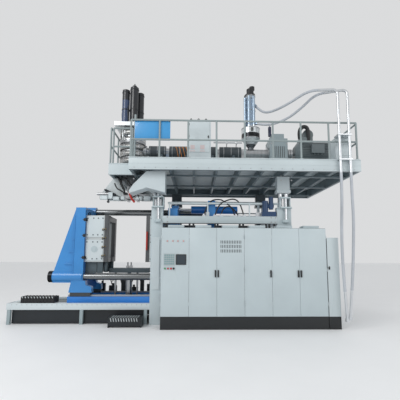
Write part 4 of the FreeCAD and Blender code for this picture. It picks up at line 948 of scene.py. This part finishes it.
gear_paint = surface("gear_coat", (0.27, 0.33, 0.35), 0.38, mottle=0.05, bump=0.08)
dress("gearbox", gear_paint, 0.006, rounds=2)
low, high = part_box("gearbox")
vents = bmesh.new()
for k in range(7):
    x = low.x + 0.07 + k * 0.047
    block(vents, (x, low.y - 0.002, 4.05), (x + 0.014, low.y + 0.002, 4.35), 0.001)
keep(vents, "gearbox_vents", "platform", black_plastic)
bolts_bm = bmesh.new()
for x in (low.x + 0.03, high.x - 0.03):
    for z in (3.8, 4.0, 4.42):
        bolt(bolts_bm, (x, low.y - 0.001, z), (0, -1, 0), r=0.013)
keep(bolts_bm, "gearbox_bolts", "platform", turned_steel)

tank = bmesh.new()
bar(tank, (2.215, axis_y, 4.705), (2.215, axis_y, 4.95), 0.042, segments=32)
bar(tank, (2.215, axis_y, 4.95), (2.215, axis_y, 4.985), 0.042, tip=0.012, segments=32)
keep(tank, "gear_oil_accumulator", "platform", surface("deep_navy", (0.012, 0.02, 0.06), 0.35,
                                                     mottle=0.2))

motor_paint = surface("motor_coat", (0.15, 0.18, 0.19), 0.4, mottle=0.12, bump=0.1)
patch(motor_paint, (3.738, None, None), (None, None, None), (0.5, 0.55, 0.57))
dress("drive_motor", motor_paint)
fin_count = 44
fin_place = Matrix.Translation((3.33, 0.31, 0)) @ Matrix.Diagonal((0.74, 0.03, 0.008, 1.0))
fins = bmesh.new()
for k in range(fin_count):
    share = k / fin_count
    if 0.15 < share < 0.35:
        continue
    turn = Matrix.Translation((0, axis_y, axis_z)) @ Matrix.Rotation(math.tau * share, 4, "X")
    bmesh.ops.create_cube(fins, size=1.0, matrix=turn @ fin_place)
keep(fins, "motor_fins", "platform", motor_paint)
box_bm = bmesh.new()
block(box_bm, (3.2, -0.89, 4.15), (3.5, -0.8, 4.36), 0.008)
block(box_bm, (3.19, -0.9, 4.14), (3.51, -0.888, 4.37), 0.004)
for x in (3.27, 3.36, 3.45):
    bar(box_bm, (x, -0.85, 4.15), (x, -0.85, 4.11), 0.02, segments=16)
keep(box_bm, "motor_terminal_box", "platform", motor_paint)
hose_line("blower_duct", "platform", 0.05,
          [(2.98, -0.62, 4.6), (2.94, -0.66, 4.78), (3.03, -0.68, 4.92), (3.16, -0.68, 4.9),
           (3.2, -0.66, 4.72), (3.2, -0.62, 4.55)], hydraulic_hose)

# ---- hopper and vacuum loader ----
# A steel hopper with a black band and sight glass under a tall loader. The loader has clamp
# bands, three clasps near its top and a black blower lid.
hopper_paint = surface("hopper_steel", (0.62, 0.65, 0.67), 0.25, metal=0.7, mottle=0.1,
                       stretch=(1, 1, 5))
patch(hopper_paint, (None, None, 4.6), (None, None, 4.735), (0.014, 0.015, 0.018))
patch(hopper_paint, (None, None, None), (None, None, 4.45), (0.1, 0.11, 0.12))
patch(hopper_paint, (None, None, 4.95), (None, None, None), (0.36, 0.45, 0.55))
dress("hopper", hopper_paint)
loader_x, loader_r = 1.703, 0.139
loader = bmesh.new()
for z, r in ((4.87, 0.246), (4.6, 0.245), (5.02, loader_r), (5.38, loader_r), (5.78, loader_r)):
    collar(loader, (loader_x, axis_y, z), (loader_x, axis_y, z + 0.018), r - 0.01, r, 44)
for a in (-2.3, -0.8, -1.57):
    at = Vector((loader_x + loader_r * math.cos(a), axis_y + loader_r * math.sin(a), 5.79))
    block(loader, at - Vector((0.012, 0.012, 0.09)), at + Vector((0.012, 0.012, 0.02)), 0.003)
keep(loader, "hopper_bands", "platform", turned_steel, True)
window = bmesh.new()
block(window, (1.67, -0.747, 4.755), (1.736, -0.732, 4.855), 0.004)
keep(window, "hopper_sight_glass", "platform", surface("sight_glass", (0.06, 0.07, 0.07), 0.1,
                                                      coat=0.6))
